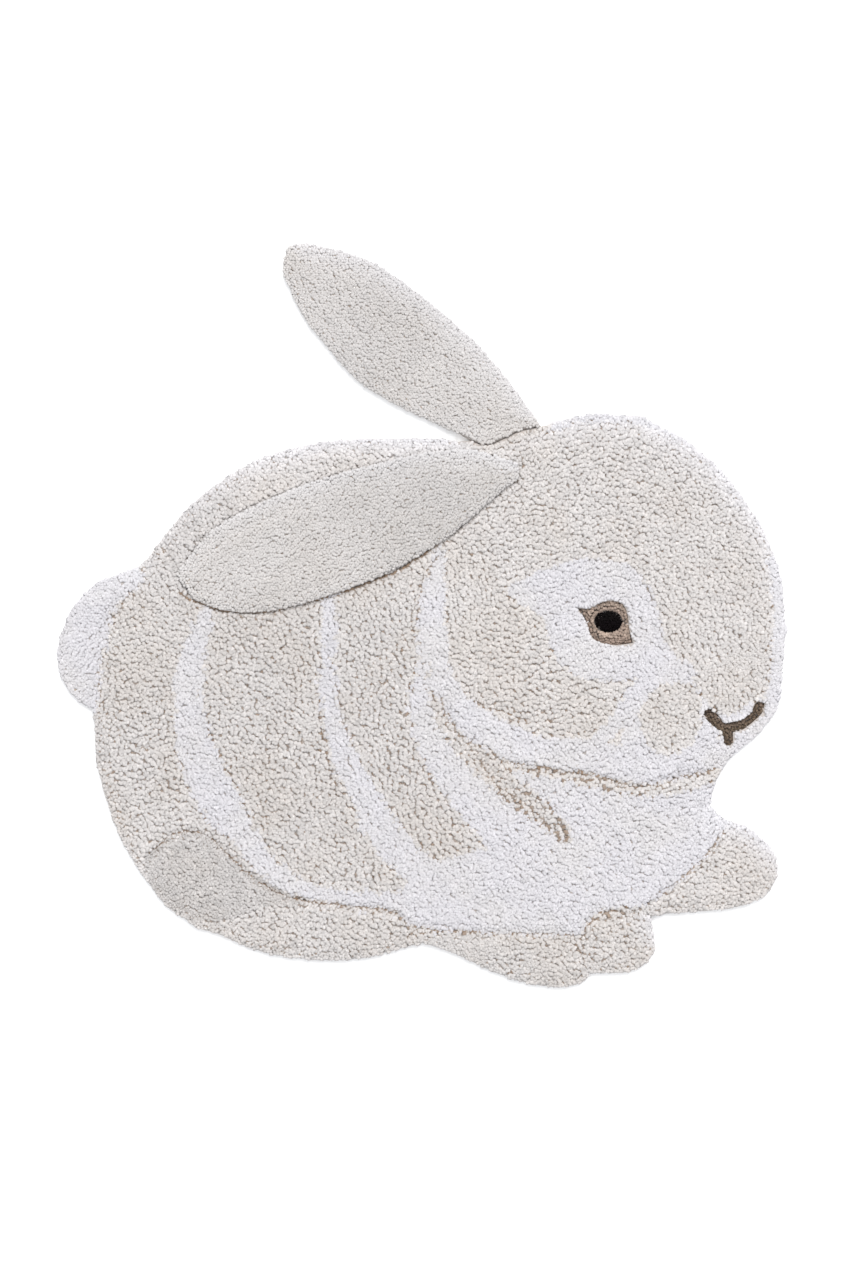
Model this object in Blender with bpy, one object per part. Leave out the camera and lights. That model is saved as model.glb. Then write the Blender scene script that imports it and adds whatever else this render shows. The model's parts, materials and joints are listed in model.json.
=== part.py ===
"""A floor rug for a child's room, in the shape of a crouching rabbit.

Metres, +Z up. The rug lies flat, pile up, with its origin on the floor in the middle of its box. The
rabbit is shown from its side: it looks towards +X and its back is towards +Y. One tufted panel makes
the body. One ear is a panel sewn to the edge of the head, and the other is a flap that lies on the
pile of the back. The eye and the mouth are pile of other yarns, set into the body.

Outlines and partings are given by a few points in millimetres from the origin, with a smooth curve
drawn through them. A row of an outline ends where the next one starts, at a corner.
"""

import math
import random
from collections import namedtuple
from dataclasses import dataclass, replace

import bmesh
import bpy
from mathutils import Vector, noise
from mathutils.geometry import delaunay_2d_cdt, interpolate_bezier

MM = 0.001

# Heights above the floor and the gap between neighbouring pieces
GAP = 0.0003
BODY_HEIGHT = 0.0175
EAR_HEIGHT = 0.015
EAR_BED = 0.010  # the pile of the back, pressed down under the flap
INLAY_BED = 0.006  # the backing under the pile of the eye and the mouth
CUTTER_TOP = 0.040

# How the near ear's bed opens out around the flap
BED_CLEARANCE = 0.0036
BED_FLARE = 0.006

# The seam between the far ear and the head
SEAM = "ear seam"
SEAM_STEPS = 12
SEAM_SHOULDER = 0.0012
SEAM_SHIFT = 0.00036  # the ear stands this far behind the head, which leaves the gap along the sloping seam

# A lock dies away towards a corner of the outline over this length
CORNER_FADE = 0.035

CURVE_STEPS = 10
TIP_SPREAD = (0.3, 1.4)  # of a lock's reach and height, from the least to the most
LOCK_WANDER = 0.28  # of a step, so that the locks are unevenly spaced
SLOW_WAVES = 9.0  # waves of unevenness to the metre

# Shares of the pitch between the lumps of a top
GRID_STRAY = 0.25  # how far a lump is pushed aside
GROOVE_PITCH = 0.8  # between the points along a parting
LEAST_SPACING = 0.5
SAME_POINT = 1e-7

Row = namedtuple("Row", "name points_mm")
Parting = namedtuple("Parting", "name depth half_width points_mm")

BODY_OUTLINE = [
    Row("tail", [(-422, 68), (-454, 62), (-500, 38), (-532, -7),
                 (-546, -59), (-534, -104), (-512, -129), (-489, -136)]),
    Row("rump", [(-489, -136), (-486, -224), (-452, -332), (-408, -404), (-378, -440), (-332, -466)]),
    Row("hind foot", [(-332, -466), (-238, -505), (-136, -518), (-62, -509), (2, -488)]),
    Row("near paw", [(2, -488), (66, -515), (134, -545), (201, -558), (240, -551), (252, -532)]),
    Row("toe", [(252, -532), (294, -537), (333, -526), (351, -497), (338, -448)]),
    Row("far paw", [(338, -448), (411, -445), (486, -434), (528, -407),
                    (531, -361), (492, -320), (450, -304), (428, -286)]),
    Row("chin", [(428, -286), (442, -251), (460, -212)]),
    Row("muzzle", [(460, -212), (508, -175), (536, -134), (543, -74), (544, -22)]),
    Row("brow", [(544, -22), (542, 46), (524, 106), (494, 161), (448, 220), (393, 266), (328, 296)]),
    Row("crown", [(328, 296), (266, 302), (208, 292), (180, 284)]),
    Row(SEAM, [(180, 284), (148, 277), (118, 263), (98, 256), (74, 263)]),
    Row("back", [(74, 263), (-46, 266), (-152, 259), (-242, 235), (-332, 178), (-384, 121), (-422, 68)]),
]

FAR_EAR_OUTLINE = [
    Row("outer edge", [(180, 284), (118, 368), (58, 431), (-62, 524), (-122, 547), (-174, 556)]),
    Row("tip", [(-174, 556), (-200, 551), (-204, 515)]),
    Row("inner edge", [(-204, 515), (-182, 458), (-136, 398), (-92, 350), (-32, 314), (28, 286), (74, 263)]),
    Row(SEAM, [(74, 263), (98, 256), (118, 263), (148, 277), (180, 284)]),
]

NEAR_EAR_OUTLINE = [
    Row("lower edge", [(-364, 64), (-342, 28), (-302, 10), (-249, 5),
                       (-182, 17), (-62, 59), (44, 121), (141, 206)]),
    Row("root", [(141, 206), (145, 215), (141, 224)]),
    Row("upper edge", [(141, 224), (106, 241), (51, 249), (-32, 236), (-182, 193), (-309, 131), (-364, 64)]),
]

IRIS_OUTLINE = [
    Row("lower lid", [(235, 11), (249, -11), (254, -28), (264, -38), (290, -44), (318, -41)]),
    Row("upper lid", [(318, -41), (312, -19), (310, 1), (302, 17),
                      (286, 22), (268, 18), (252, 10), (235, 11)]),
]

MOUTH_OUTLINE = [
    Row("left cheek side", [(426, -143), (424, -150), (432, -160), (444, -170), (454, -181)]),
    Row("stem", [(454, -181), (456, -193), (464, -195), (468, -190), (468, -175)]),
    Row("right arm below", [(468, -175), (483, -171), (500, -158), (512, -146), (516, -132)]),
    Row("right arm above", [(516, -132), (504, -130), (495, -146), (480, -157), (462, -161)]),
    Row("left arm above", [(462, -161), (454, -161), (447, -151), (435, -140), (426, -143)]),
]

PUPIL_CENTRE = Vector((0.281, -0.009))
PUPIL_RADII = Vector((0.0205, 0.0155))
PUPIL_STEPS = 20

# Lines clipped into the pile where one part of the rabbit passes behind another
PARTINGS = [
    Parting("tail", 0.006, 0.008, [(-424, 60), (-458, 8), (-477, -52), (-488, -130)]),
    Parting("haunch", 0.007, 0.009, [(-408, -364), (-374, -331), (-332, -328), (-296, -352), (-256, -391),
                                     (-196, -422), (-122, -436), (-46, -443), (-20, -464), (-12, -480)]),
    Parting("belly", 0.006, 0.008, [(-9, -473), (88, -475), (208, -479), (236, -494), (248, -526)]),
    Parting("toe", 0.005, 0.007, [(246, -494), (254, -464), (280, -446), (330, -446)]),
    Parting("chest", 0.006, 0.008, [(344, -432), (388, -400), (424, -364), (444, -316)]),
    Parting("jaw", 0.007, 0.009, [(122, -220), (194, -232), (254, -239),
                                  (321, -256), (381, -244), (441, -232)]),
    Parting("shoulder", 0.005, 0.007, [(28, -119), (46, -164), (81, -209),
                                       (126, -262), (178, -302), (208, -332)]),
    Parting("back of cheek", 0.004, 0.007, [(28, 91), (-4, 31), (-14, -37)]),
    Parting("cheek fold", 0.004, 0.007, [(81, -127), (156, -157)]),
]

CREAM = (0.72, 0.68, 0.66)
SAND = (0.62, 0.58, 0.55)
BROWN = (0.16, 0.11, 0.075)
DARK_BROWN = (0.09, 0.06, 0.04)
BLACK = (0.010, 0.009, 0.010)


@dataclass
class Pile:
    """The pile of one piece. Heights are above its underside."""

    height: float  # to the tips, in the middle of the piece
    shoulder: float  # where the rim turns over into the top
    widest: float  # where a lock stands out furthest
    tuck: float  # how far the underside is set in from the outline
    inset: float  # how far the shoulder is set in from the outline
    reach: float  # how far a lock stands out past the outline
    notch: float  # how far the rim draws in between two locks
    round_over: float  # width of the rise from the shoulder to the full height
    lock_pitch: float
    top_pitch: float  # between the lumps of the top
    lump: float  # half the height of a lump


BODY_PILE = Pile(
    height=BODY_HEIGHT,
    shoulder=0.0125,
    widest=0.006,
    tuck=0.004,
    inset=0.005,
    reach=0.0032,
    notch=0.0020,
    round_over=0.026,
    lock_pitch=0.0165,
    top_pitch=0.0172,
    lump=0.0017,
)
FAR_EAR_PILE = Pile(
    height=EAR_HEIGHT,
    shoulder=0.010,
    widest=0.005,
    tuck=0.003,
    inset=0.005,
    reach=0.0018,
    notch=0.0012,
    round_over=0.034,
    lock_pitch=0.0185,
    top_pitch=0.0135,
    lump=0.0009,
)
NEAR_EAR_PILE = replace(FAR_EAR_PILE, shoulder=0.009, widest=0.004, lock_pitch=0.0175)
INLAY_PILE = Pile(
    height=BODY_HEIGHT - INLAY_BED - GAP,
    shoulder=0.0102,
    widest=0.005,
    tuck=0,
    inset=0.0015,
    reach=0,
    notch=0,
    round_over=0.008,
    lock_pitch=0.011,
    top_pitch=0.009,
    lump=0.0007,
)


def in_metres(points_mm):
    """Points of a table as vectors in metres."""
    return [Vector(point) * MM for point in points_mm]


def heading(knots, index):
    """The way a smooth curve goes at one of its knots."""
    ahead = knots[min(index + 1, len(knots) - 1)]
    behind = knots[max(index - 1, 0)]
    return (ahead - behind).normalized()


def smooth_run(knots):
    """A smooth curve through the knots, as close points."""
    run = [knots[0].to_3d()]
    for index, (start, end) in enumerate(zip(knots, knots[1:])):
        third = (end - start).length / 3
        leave = start + heading(knots, index) * third
        arrive = end - heading(knots, index + 1) * third
        piece = interpolate_bezier(start.to_3d(), leave.to_3d(), arrive.to_3d(), end.to_3d(), CURVE_STEPS)
        run += piece[1:]
    return [point.to_2d() for point in run]


def run_length(run):
    """Length of a line of points."""
    return sum((b - a).length for a, b in zip(run, run[1:]))


def points_at(run, shares):
    """The points of a run at rising shares of its length."""
    wanted = [share * run_length(run) for share in shares]
    points = []
    walked = 0.0
    for a, b in zip(run, run[1:]):
        side = (b - a).length
        while len(points) < len(wanted) and wanted[len(points)] <= walked + side:
            points.append(a.lerp(b, (wanted[len(points)] - walked) / side))
        walked += side
    return points + [run[-1]] * (len(wanted) - len(points))


def spaced(run, steps):
    """The run as steps + 1 points an equal way apart."""
    return points_at(run, [step / steps for step in range(steps + 1)])


def ease(share):
    """0 to 1, level at both ends."""
    share = min(max(share, 0.0), 1.0)
    return share * share * (3 - 2 * share)


def distance_to_run(point, run):
    """How far a point is from a line of points."""
    nearest = math.inf
    for a, b in zip(run, run[1:]):
        side = b - a
        along = min(max((point - a).dot(side) / side.length_squared, 0.0), 1.0)
        nearest = min(nearest, (point - a - side * along).length)
    return nearest


def outward(ring):
    """The outward direction at each point of a ring that runs anticlockwise."""
    directions = []
    for index, point in enumerate(ring):
        along = ring[(index + 1) % len(ring)] - ring[index - 1]
        directions.append(Vector((along.y, -along.x)).normalized())
    return directions


def grown(ring, distance):
    """The ring moved outwards."""
    return [point + way * distance for point, way in zip(ring, outward(ring))]


def is_inside(point, ring):
    """Whether a point lies in a ring."""
    inside = False
    for a, b in zip(ring, ring[1:] + ring[:1]):
        if (a.y > point.y) != (b.y > point.y):
            crossing = a.x + (b.x - a.x) * (point.y - a.y) / (b.y - a.y)
            inside ^= point.x < crossing
    return inside


class Outline:
    """The edge of a piece, walked anticlockwise. Odd points are the tips of locks."""

    def __init__(self, rows, lock_pitch, wander=0.0, shift=Vector((0, 0))):
        self.ring = []
        self.strength = []  # 1 where locks stand out in full, 0 at a corner and along a seam
        chance = random.Random(len(rows))
        corners = [in_metres(row.points_mm)[0] + shift for row in rows]
        for row in rows:
            run = [point + shift for point in smooth_run(in_metres(row.points_mm))]
            seam = row.name == SEAM
            steps = SEAM_STEPS if seam else 2 * max(1, round(run_length(run) / lock_pitch))
            stray = 0.0 if seam else wander
            shares = [(step + stray * chance.uniform(-1, 1) * (step > 0)) / steps for step in range(steps)]
            for point in points_at(run, shares):
                nearest = min((point - corner).length for corner in corners)
                self.ring.append(point)
                self.strength.append(0.0 if seam else ease(nearest / CORNER_FADE))


def groove_depth(point, partings):
    """How deep the pile is clipped at a point."""
    deepest = 0.0
    for parting, run in partings:
        away = distance_to_run(point, run)
        deepest = max(deepest, parting.depth * (1 - away / parting.half_width))
    return deepest


def groove_points(partings, pitch):
    """Points along the bottom and both sides of each parting."""
    points = []
    for parting, run in partings:
        middle = spaced(run, max(2, round(run_length(run) / pitch)))
        for index, point in enumerate(middle):
            ahead = heading(middle, index)
            side = Vector((-ahead.y, ahead.x)) * parting.half_width
            points += [point, point + side, point - side]
    return points


def grid_points(ring, pitch, chance):
    """Staggered points over the ring's box, each pushed about a little."""
    low_x, high_x = min(p.x for p in ring), max(p.x for p in ring)
    low_y, high_y = min(p.y for p in ring), max(p.y for p in ring)
    rise = pitch * math.sqrt(3) / 2
    points = []
    for row in range(int((high_y - low_y) / rise) + 1):
        for column in range(int((high_x - low_x) / pitch) + 2):
            x = low_x + (column + (row % 2) / 2 + chance.uniform(-GRID_STRAY, GRID_STRAY)) * pitch
            y = low_y + row * rise + chance.uniform(-GRID_STRAY, GRID_STRAY) * pitch
            points.append(Vector((x, y)))
    return points


def spread_out(candidates, ring, clearance):
    """The candidates that lie inside the ring and clear of it and of each other, the first ones kept."""
    closed_ring = ring + ring[:1]
    kept = []
    cells = {}
    for point in candidates:
        cell = (math.floor(point.x / clearance), math.floor(point.y / clearance))
        around = [(cell[0] + i, cell[1] + j) for i in (-1, 0, 1) for j in (-1, 0, 1)]
        close = any((other - point).length < clearance for key in around for other in cells.get(key, []))
        if close or not is_inside(point, ring) or distance_to_run(point, closed_ring) < clearance:
            continue
        cells.setdefault(cell, []).append(point)
        kept.append(point)
    return kept


def fill(mesh, ring_vertices, inner, heights, facing_up):
    """Triangles between a ring of vertices and the points inside it."""
    flat = [vertex.co.to_2d() for vertex in ring_vertices] + inner
    vertices = list(ring_vertices) + [mesh.verts.new((*p, z)) for p, z in zip(inner, heights)]
    loop = list(range(len(ring_vertices)))
    _, _, triangles, sources, _, _ = delaunay_2d_cdt(flat, [], [loop], 1, SAME_POINT)
    for triangle in triangles:
        corners = [vertices[sources[corner][0]] for corner in triangle]
        mesh.faces.new(corners if facing_up else corners[::-1])


def band(mesh, lower, upper):
    """Faces between two rings of as many vertices."""
    for index in range(len(lower)):
        after = (index + 1) % len(lower)
        mesh.faces.new((lower[index], lower[after], upper[after], upper[index]))


def finished(name, mesh, colour, roughness):
    """The mesh as an object with its own material."""
    bmesh.ops.triangulate(mesh, faces=mesh.faces)
    bmesh.ops.recalc_face_normals(mesh, faces=mesh.faces)
    data = bpy.data.meshes.new(name)
    mesh.to_mesh(data)
    mesh.free()
    piece = bpy.data.objects.new(name, data)
    bpy.context.scene.collection.objects.link(piece)
    material = bpy.data.materials.new(name)
    material.use_nodes = True
    shader = material.node_tree.nodes["Principled BSDF"]
    shader.inputs["Base Color"].default_value = (*colour, 1)
    shader.inputs["Roughness"].default_value = roughness
    shader.inputs["Metallic"].default_value = 0
    material.diffuse_color = (*colour, 1)
    data.materials.append(material)
    return piece


def pile_slab(name, ring, strength, pile, base, colour, partings=(), seed=1):
    """A slab of pile: flat underneath, locks around its rim and a lumpy top."""
    chance = random.Random(seed)
    mesh = bmesh.new()
    rings = {"under": [], "widest": [], "shoulder": []}
    for index, (point, way) in enumerate(zip(ring, outward(ring))):
        share = strength[index]
        if index % 2:
            stand_out = pile.reach * chance.uniform(*TIP_SPREAD)
            lift = pile.widest * chance.uniform(*TIP_SPREAD)
        else:
            stand_out = -pile.notch * chance.uniform(*TIP_SPREAD)
            lift = pile.widest
        inset = SEAM_SHOULDER + (pile.inset - SEAM_SHOULDER) * share
        turn = point - way * inset
        rim_height = pile.shoulder + chance.uniform(-pile.lump, pile.lump) - groove_depth(turn, partings) / 2
        spots = {
            "under": (point - way * pile.tuck * share, 0),
            "widest": (point + way * stand_out * share, lift),
            "shoulder": (turn, rim_height),
        }
        for level, (spot, height) in spots.items():
            rings[level].append(mesh.verts.new((*spot, base + height)))
    band(mesh, rings["under"], rings["widest"])
    band(mesh, rings["widest"], rings["shoulder"])
    fill(mesh, rings["under"], [], [], False)

    edge = [vertex.co.to_2d() for vertex in rings["shoulder"]]
    candidates = groove_points(partings, pile.top_pitch * GROOVE_PITCH)
    candidates += grid_points(edge, pile.top_pitch, chance)
    inner = spread_out(candidates, edge, pile.top_pitch * LEAST_SPACING)
    closed_ring = ring + ring[:1]
    heights = []
    for point in inner:
        rise = ease(distance_to_run(point, closed_ring) / pile.round_over)
        slow = noise.noise((point * SLOW_WAVES).to_3d() + Vector((0, 0, seed)))
        height = pile.shoulder + (pile.height - pile.shoulder) * rise
        height += pile.lump * (slow + chance.uniform(-1, 1)) - groove_depth(point, partings)
        heights.append(base + height)
    fill(mesh, rings["shoulder"], inner, heights, True)
    return finished(name, mesh, colour, 0.95)


def cut(piece, name, ring, low, low_growth, high_growth):
    """Cuts a straight or flared hollow, open at the top, into a piece."""
    mesh = bmesh.new()
    below = [mesh.verts.new((*point, low)) for point in grown(ring, low_growth)]
    above = [mesh.verts.new((*point, CUTTER_TOP)) for point in grown(ring, high_growth)]
    band(mesh, below, above)
    fill(mesh, below, [], [], False)
    fill(mesh, above, [], [], True)
    cutter = finished(name, mesh, (1, 0, 0), 1)
    cutter.hide_render = True
    cutter.display_type = "WIRE"
    hollow = piece.modifiers.new(name, "BOOLEAN")
    hollow.operation = "DIFFERENCE"
    hollow.solver = "EXACT"
    hollow.object = cutter


def build():
    """Makes the six pieces of the rug."""
    for old in list(bpy.data.objects):
        bpy.data.objects.remove(old)

    partings = [(parting, smooth_run(in_metres(parting.points_mm))) for parting in PARTINGS]
    body = Outline(BODY_OUTLINE, BODY_PILE.lock_pitch, LOCK_WANDER)
    rug = pile_slab("rug_body", body.ring, body.strength, BODY_PILE, 0, CREAM, partings, seed=3)

    far = Outline(FAR_EAR_OUTLINE, FAR_EAR_PILE.lock_pitch, LOCK_WANDER, Vector((0, SEAM_SHIFT)))
    pile_slab("far_ear", far.ring, far.strength, FAR_EAR_PILE, 0, SAND, seed=5)

    near = Outline(NEAR_EAR_OUTLINE, NEAR_EAR_PILE.lock_pitch, LOCK_WANDER)
    pile_slab("near_ear", near.ring, near.strength, NEAR_EAR_PILE, EAR_BED + GAP, SAND, seed=7)
    cut(rug, "ear_bed", near.ring, EAR_BED, BED_CLEARANCE, BED_CLEARANCE + BED_FLARE)

    inlay_base = INLAY_BED + GAP
    iris = Outline(IRIS_OUTLINE, INLAY_PILE.lock_pitch)
    eye = pile_slab("eye_iris", iris.ring, iris.strength, INLAY_PILE, inlay_base, BROWN, seed=9)
    cut(rug, "eye_bed", iris.ring, INLAY_BED, GAP, GAP)

    turns = [2 * math.pi * step / PUPIL_STEPS for step in range(PUPIL_STEPS)]
    pupil = [PUPIL_CENTRE + PUPIL_RADII * Vector((math.cos(turn), math.sin(turn))) for turn in turns]
    pile_slab("eye_pupil", pupil, [1.0] * PUPIL_STEPS, INLAY_PILE, inlay_base, BLACK, seed=11)
    cut(eye, "pupil_bed", pupil, 0, GAP, GAP)

    mouth = Outline(MOUTH_OUTLINE, INLAY_PILE.lock_pitch)
    pile_slab("mouth", mouth.ring, mouth.strength, INLAY_PILE, inlay_base, DARK_BROWN, seed=13)
    cut(rug, "mouth_bed", mouth.ring, INLAY_BED, GAP, GAP)


build()
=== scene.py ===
"""Looks of the rabbit shaped kids rug: locks of yarn, dense roots, woven backings and the studio.

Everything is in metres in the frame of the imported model: +X is the way the rabbit looks, +Y points to its
back and ears, and +Z up out of the pile. The floor is at height 0.
"""

import json
import logging
import math
from dataclasses import dataclass, field, fields, replace
from enum import StrEnum
from typing import NamedTuple, Self, Sequence

import bmesh
import bpy
import numpy as np
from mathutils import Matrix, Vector, noise
from mathutils.bvhtree import BVHTree
from mathutils.kdtree import KDTree

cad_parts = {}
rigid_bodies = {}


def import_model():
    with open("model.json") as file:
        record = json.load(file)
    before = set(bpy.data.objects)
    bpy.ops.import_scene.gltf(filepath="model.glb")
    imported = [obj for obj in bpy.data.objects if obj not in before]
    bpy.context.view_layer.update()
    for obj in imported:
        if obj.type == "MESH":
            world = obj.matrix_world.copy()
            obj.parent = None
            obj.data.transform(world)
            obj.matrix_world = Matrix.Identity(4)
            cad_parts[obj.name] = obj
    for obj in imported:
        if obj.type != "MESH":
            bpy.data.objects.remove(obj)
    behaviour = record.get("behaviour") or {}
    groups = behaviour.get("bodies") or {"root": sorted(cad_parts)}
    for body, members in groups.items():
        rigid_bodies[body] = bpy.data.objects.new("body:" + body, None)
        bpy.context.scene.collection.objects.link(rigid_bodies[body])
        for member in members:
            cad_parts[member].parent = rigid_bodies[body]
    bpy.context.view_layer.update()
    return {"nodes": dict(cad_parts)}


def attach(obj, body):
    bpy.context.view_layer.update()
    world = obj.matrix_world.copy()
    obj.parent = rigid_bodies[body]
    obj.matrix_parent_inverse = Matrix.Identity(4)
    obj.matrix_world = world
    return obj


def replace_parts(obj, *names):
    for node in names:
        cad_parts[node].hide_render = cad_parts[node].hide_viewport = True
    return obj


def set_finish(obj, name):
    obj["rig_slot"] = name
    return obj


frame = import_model()

LOG = logging.getLogger("rug")
BODY = "root"
SEED = 4711
MM = 0.001
CORNERS = 3  # Corners of a triangle.
TURN = 2 * math.pi
WINDOW = (0.42, 0.91)  # Direction in plan from which the window's light comes.

BODY_BED = 0.0100  # Height of the top of the body's dense roots.
FAR_EAR_BED = 0.0095  # The same for the ear that stands up from the head.
NEAR_EAR_BED = 0.0195  # The same for the ear that lies over the back.
ROOT_SHARE = 0.55  # Share of the pile's height over its bed that the dense roots fill.
LEAST_PILE = 4 * MM  # Least height of the pile's top over its bed.
USUAL_PILE = 6 * MM  # Height of the pile's top over its bed where the solid has no top.

RIM_REACH = 8 * MM  # How far in from a loose rim the locks still splay.
SHADE_REACH = 6 * MM  # How far in from the rim away from the window the pile gets painted shade.
LIFT_REACH = 7 * MM  # How far from a piece that lies on it the pile stands up.
BORDER_REACH = 5 * MM  # How far from the edge between two yarns it still shows.
SHOULDER_SHARE = 0.62  # Share of a lock's half width that a slit pushes clear of its gap.
SKIRT_SPACING = 0.00105  # Distance between the locks that hang over a loose rim.
BEND = 1.5  # Power of the curve in which a lock bends from upright at its root to its tip.
TWIST = 0.9  # Turn of a lock about itself from root to tip, in radians.

Colour = tuple[float, float, float]
Points = Sequence[tuple[float, ...]]


class Slot(StrEnum):
    """The record's material slots: one for each yarn, and one for the cloth."""

    BEIGE = "beige_pile"
    WHITE = "white_pile"
    EAR = "ear_pile"
    BROWN = "brown_pile"
    BLACK = "black_pile"
    DARK_BROWN = "dark_brown_pile"
    BACKING = "backing_cloth"


class Patch(NamedTuple):
    """A closed area of the pile, by a few points on its smooth edge."""

    name: str
    points_mm: Points


class Stroke(NamedTuple):
    """A band of the pile along a smooth line, by points with the band's half width at each."""

    name: str
    points_mm: Points


class Parting(NamedTuple):
    """A line where the pile parts: how unbroken it is, its half width, and how far it darkens and browns
    the pile with painted shade.
    """

    name: str
    strength: float
    half_mm: float
    reach_mm: float
    points_mm: Points


class PanelRow(NamedTuple):
    """A panel of cloth with its pile.

    Args:
        node: CAD node of the panel.
        label: Maker's word for it, used in the names of its pieces.
        bed: Height of the top of its roots.
        slot: Its yarn.
        flat: Length and width of its cloth laid flat; not used.
        area: Area of its cloth, in square metres; not used.
        under: Names of what it rests on; not used.
    """

    node: str
    label: str
    bed: float
    slot: Slot
    flat: tuple[float, float]
    area: float
    under: list[str]


PANELS = (
    PanelRow("rug_body", "body", BODY_BED, Slot.BEIGE, (1.0975, 1.1167), 0.714, ["floor"]),
    PanelRow("far_ear", "far_ear", FAR_EAR_BED, Slot.EAR, (0.3845, 0.2997), 0.0514, ["floor"]),
    PanelRow("near_ear", "near_ear", NEAR_EAR_BED, Slot.EAR, (0.509, 0.248), 0.0657, ["roots_body"]),
)

# Where the body is tufted in white: x, y and half width along each band, x and y round each patch.
WHITE_STROKES = (
    Stroke("haunch band", ((-318, 23, 10), (-336, -32, 14), (-350, -85, 21), (-351, -134, 22),
        (-342, -190, 27), (-324, -241, 30), (-297, -286, 30), (-262, -334, 18), (-230, -377, 16),
        (-182, -407, 15), (-110, -424, 12), (-34, -431, 15))),
    Stroke("middle band", ((-136, 35, 12), (-141, -37, 10), (-141, -100, 12), (-132, -157, 15),
        (-114, -212, 18), (-87, -269, 22), (-56, -325, 26), (-16, -370, 24), (36, -400, 27))),
    Stroke("front band", ((0, -73, 6), (-4, -115, 12), (4, -166, 18), (34, -224, 26), (80, -277, 30),
        (134, -329, 39), (194, -379, 45))),
    Stroke("jaw", ((26, 95, 9), (18, 38, 18), (15, -22, 22), (27, -82, 18), (52, -134, 21),
        (104, -176, 26), (171, -203, 24), (254, -212, 26), (332, -226, 26), (404, -221, 20),
        (452, -208, 18))),
    Stroke("cheek strip", ((268, -185, 12), (292, -162, 12), (309, -132, 12), (330, -106, 12),
        (354, -90, 11), (391, -82, 9))),
    Stroke("head rim", ((186, 275, 2), (216, 287, 4), (274, 296, 5), (344, 287, 6), (404, 263, 6),
        (456, 224, 7), (501, 166, 8), (531, 106, 8))),
    Stroke("face rim", ((525, 83, 8), (536, 23, 10), (540, -37, 15), (537, -97, 16), (520, -148, 18),
        (490, -184, 21), (452, -205, 24))),
    Stroke("beside the pad", ((412, -112, 5), (421, -140, 12), (425, -172, 18), (400, -212, 18))),
    Stroke("under the nose", ((422, -187, 18), (430, -157, 18), (458, -163, 16), (482, -157, 14),
        (504, -136, 12))),
)
WHITE_PATCHES = (
    Patch("tail", ((-418, 68), (-460, 5), (-480, -67), (-486, -136), (-556, -163), (-604, -52),
        (-542, 89))),
    Patch("eye patch", ((129, 40), (178, 67), (243, 85), (304, 77), (336, 49), (356, 4), (370, -44),
        (414, -86), (364, -107), (338, -95), (268, -98), (218, -83), (192, -44), (180, -2), (148, 17))),
    Patch("round the pad", ((300, -196), (304, -156), (318, -116), (348, -90), (388, -84), (408, -96),
        (425, -140), (430, -190), (400, -230), (340, -230))),
    Patch("belly", ((136, -232), (186, -280), (219, -340), (74, -352), (-20, -394), (-30, -460),
        (88, -475), (224, -479), (268, -442), (351, -425), (418, -368), (460, -310), (464, -247),
        (358, -272), (238, -253))),
)
# Beige areas that lie in the white.
BEIGE_PATCHES = (
    Patch("whisker pad", ((414, -112), (388, -101), (356, -106), (333, -128), (326, -158), (338, -192),
        (370, -208), (402, -196), (417, -160))),
)
# Where the beige pile is finer and smoother.
FINE_STROKES = (
    Stroke("near paw", ((8, -491, 10), (56, -500, 20), (110, -497, 14))),
    Stroke("nose", ((468, -68, 14), (508, -64, 14))),
)
FINE_PATCHES = (
    Patch("hind foot", ((-416, -367), (-376, -329), (-322, -329), (-284, -367), (-182, -428),
        (-238, -436), (-314, -458), (-382, -433))),
)
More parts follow.
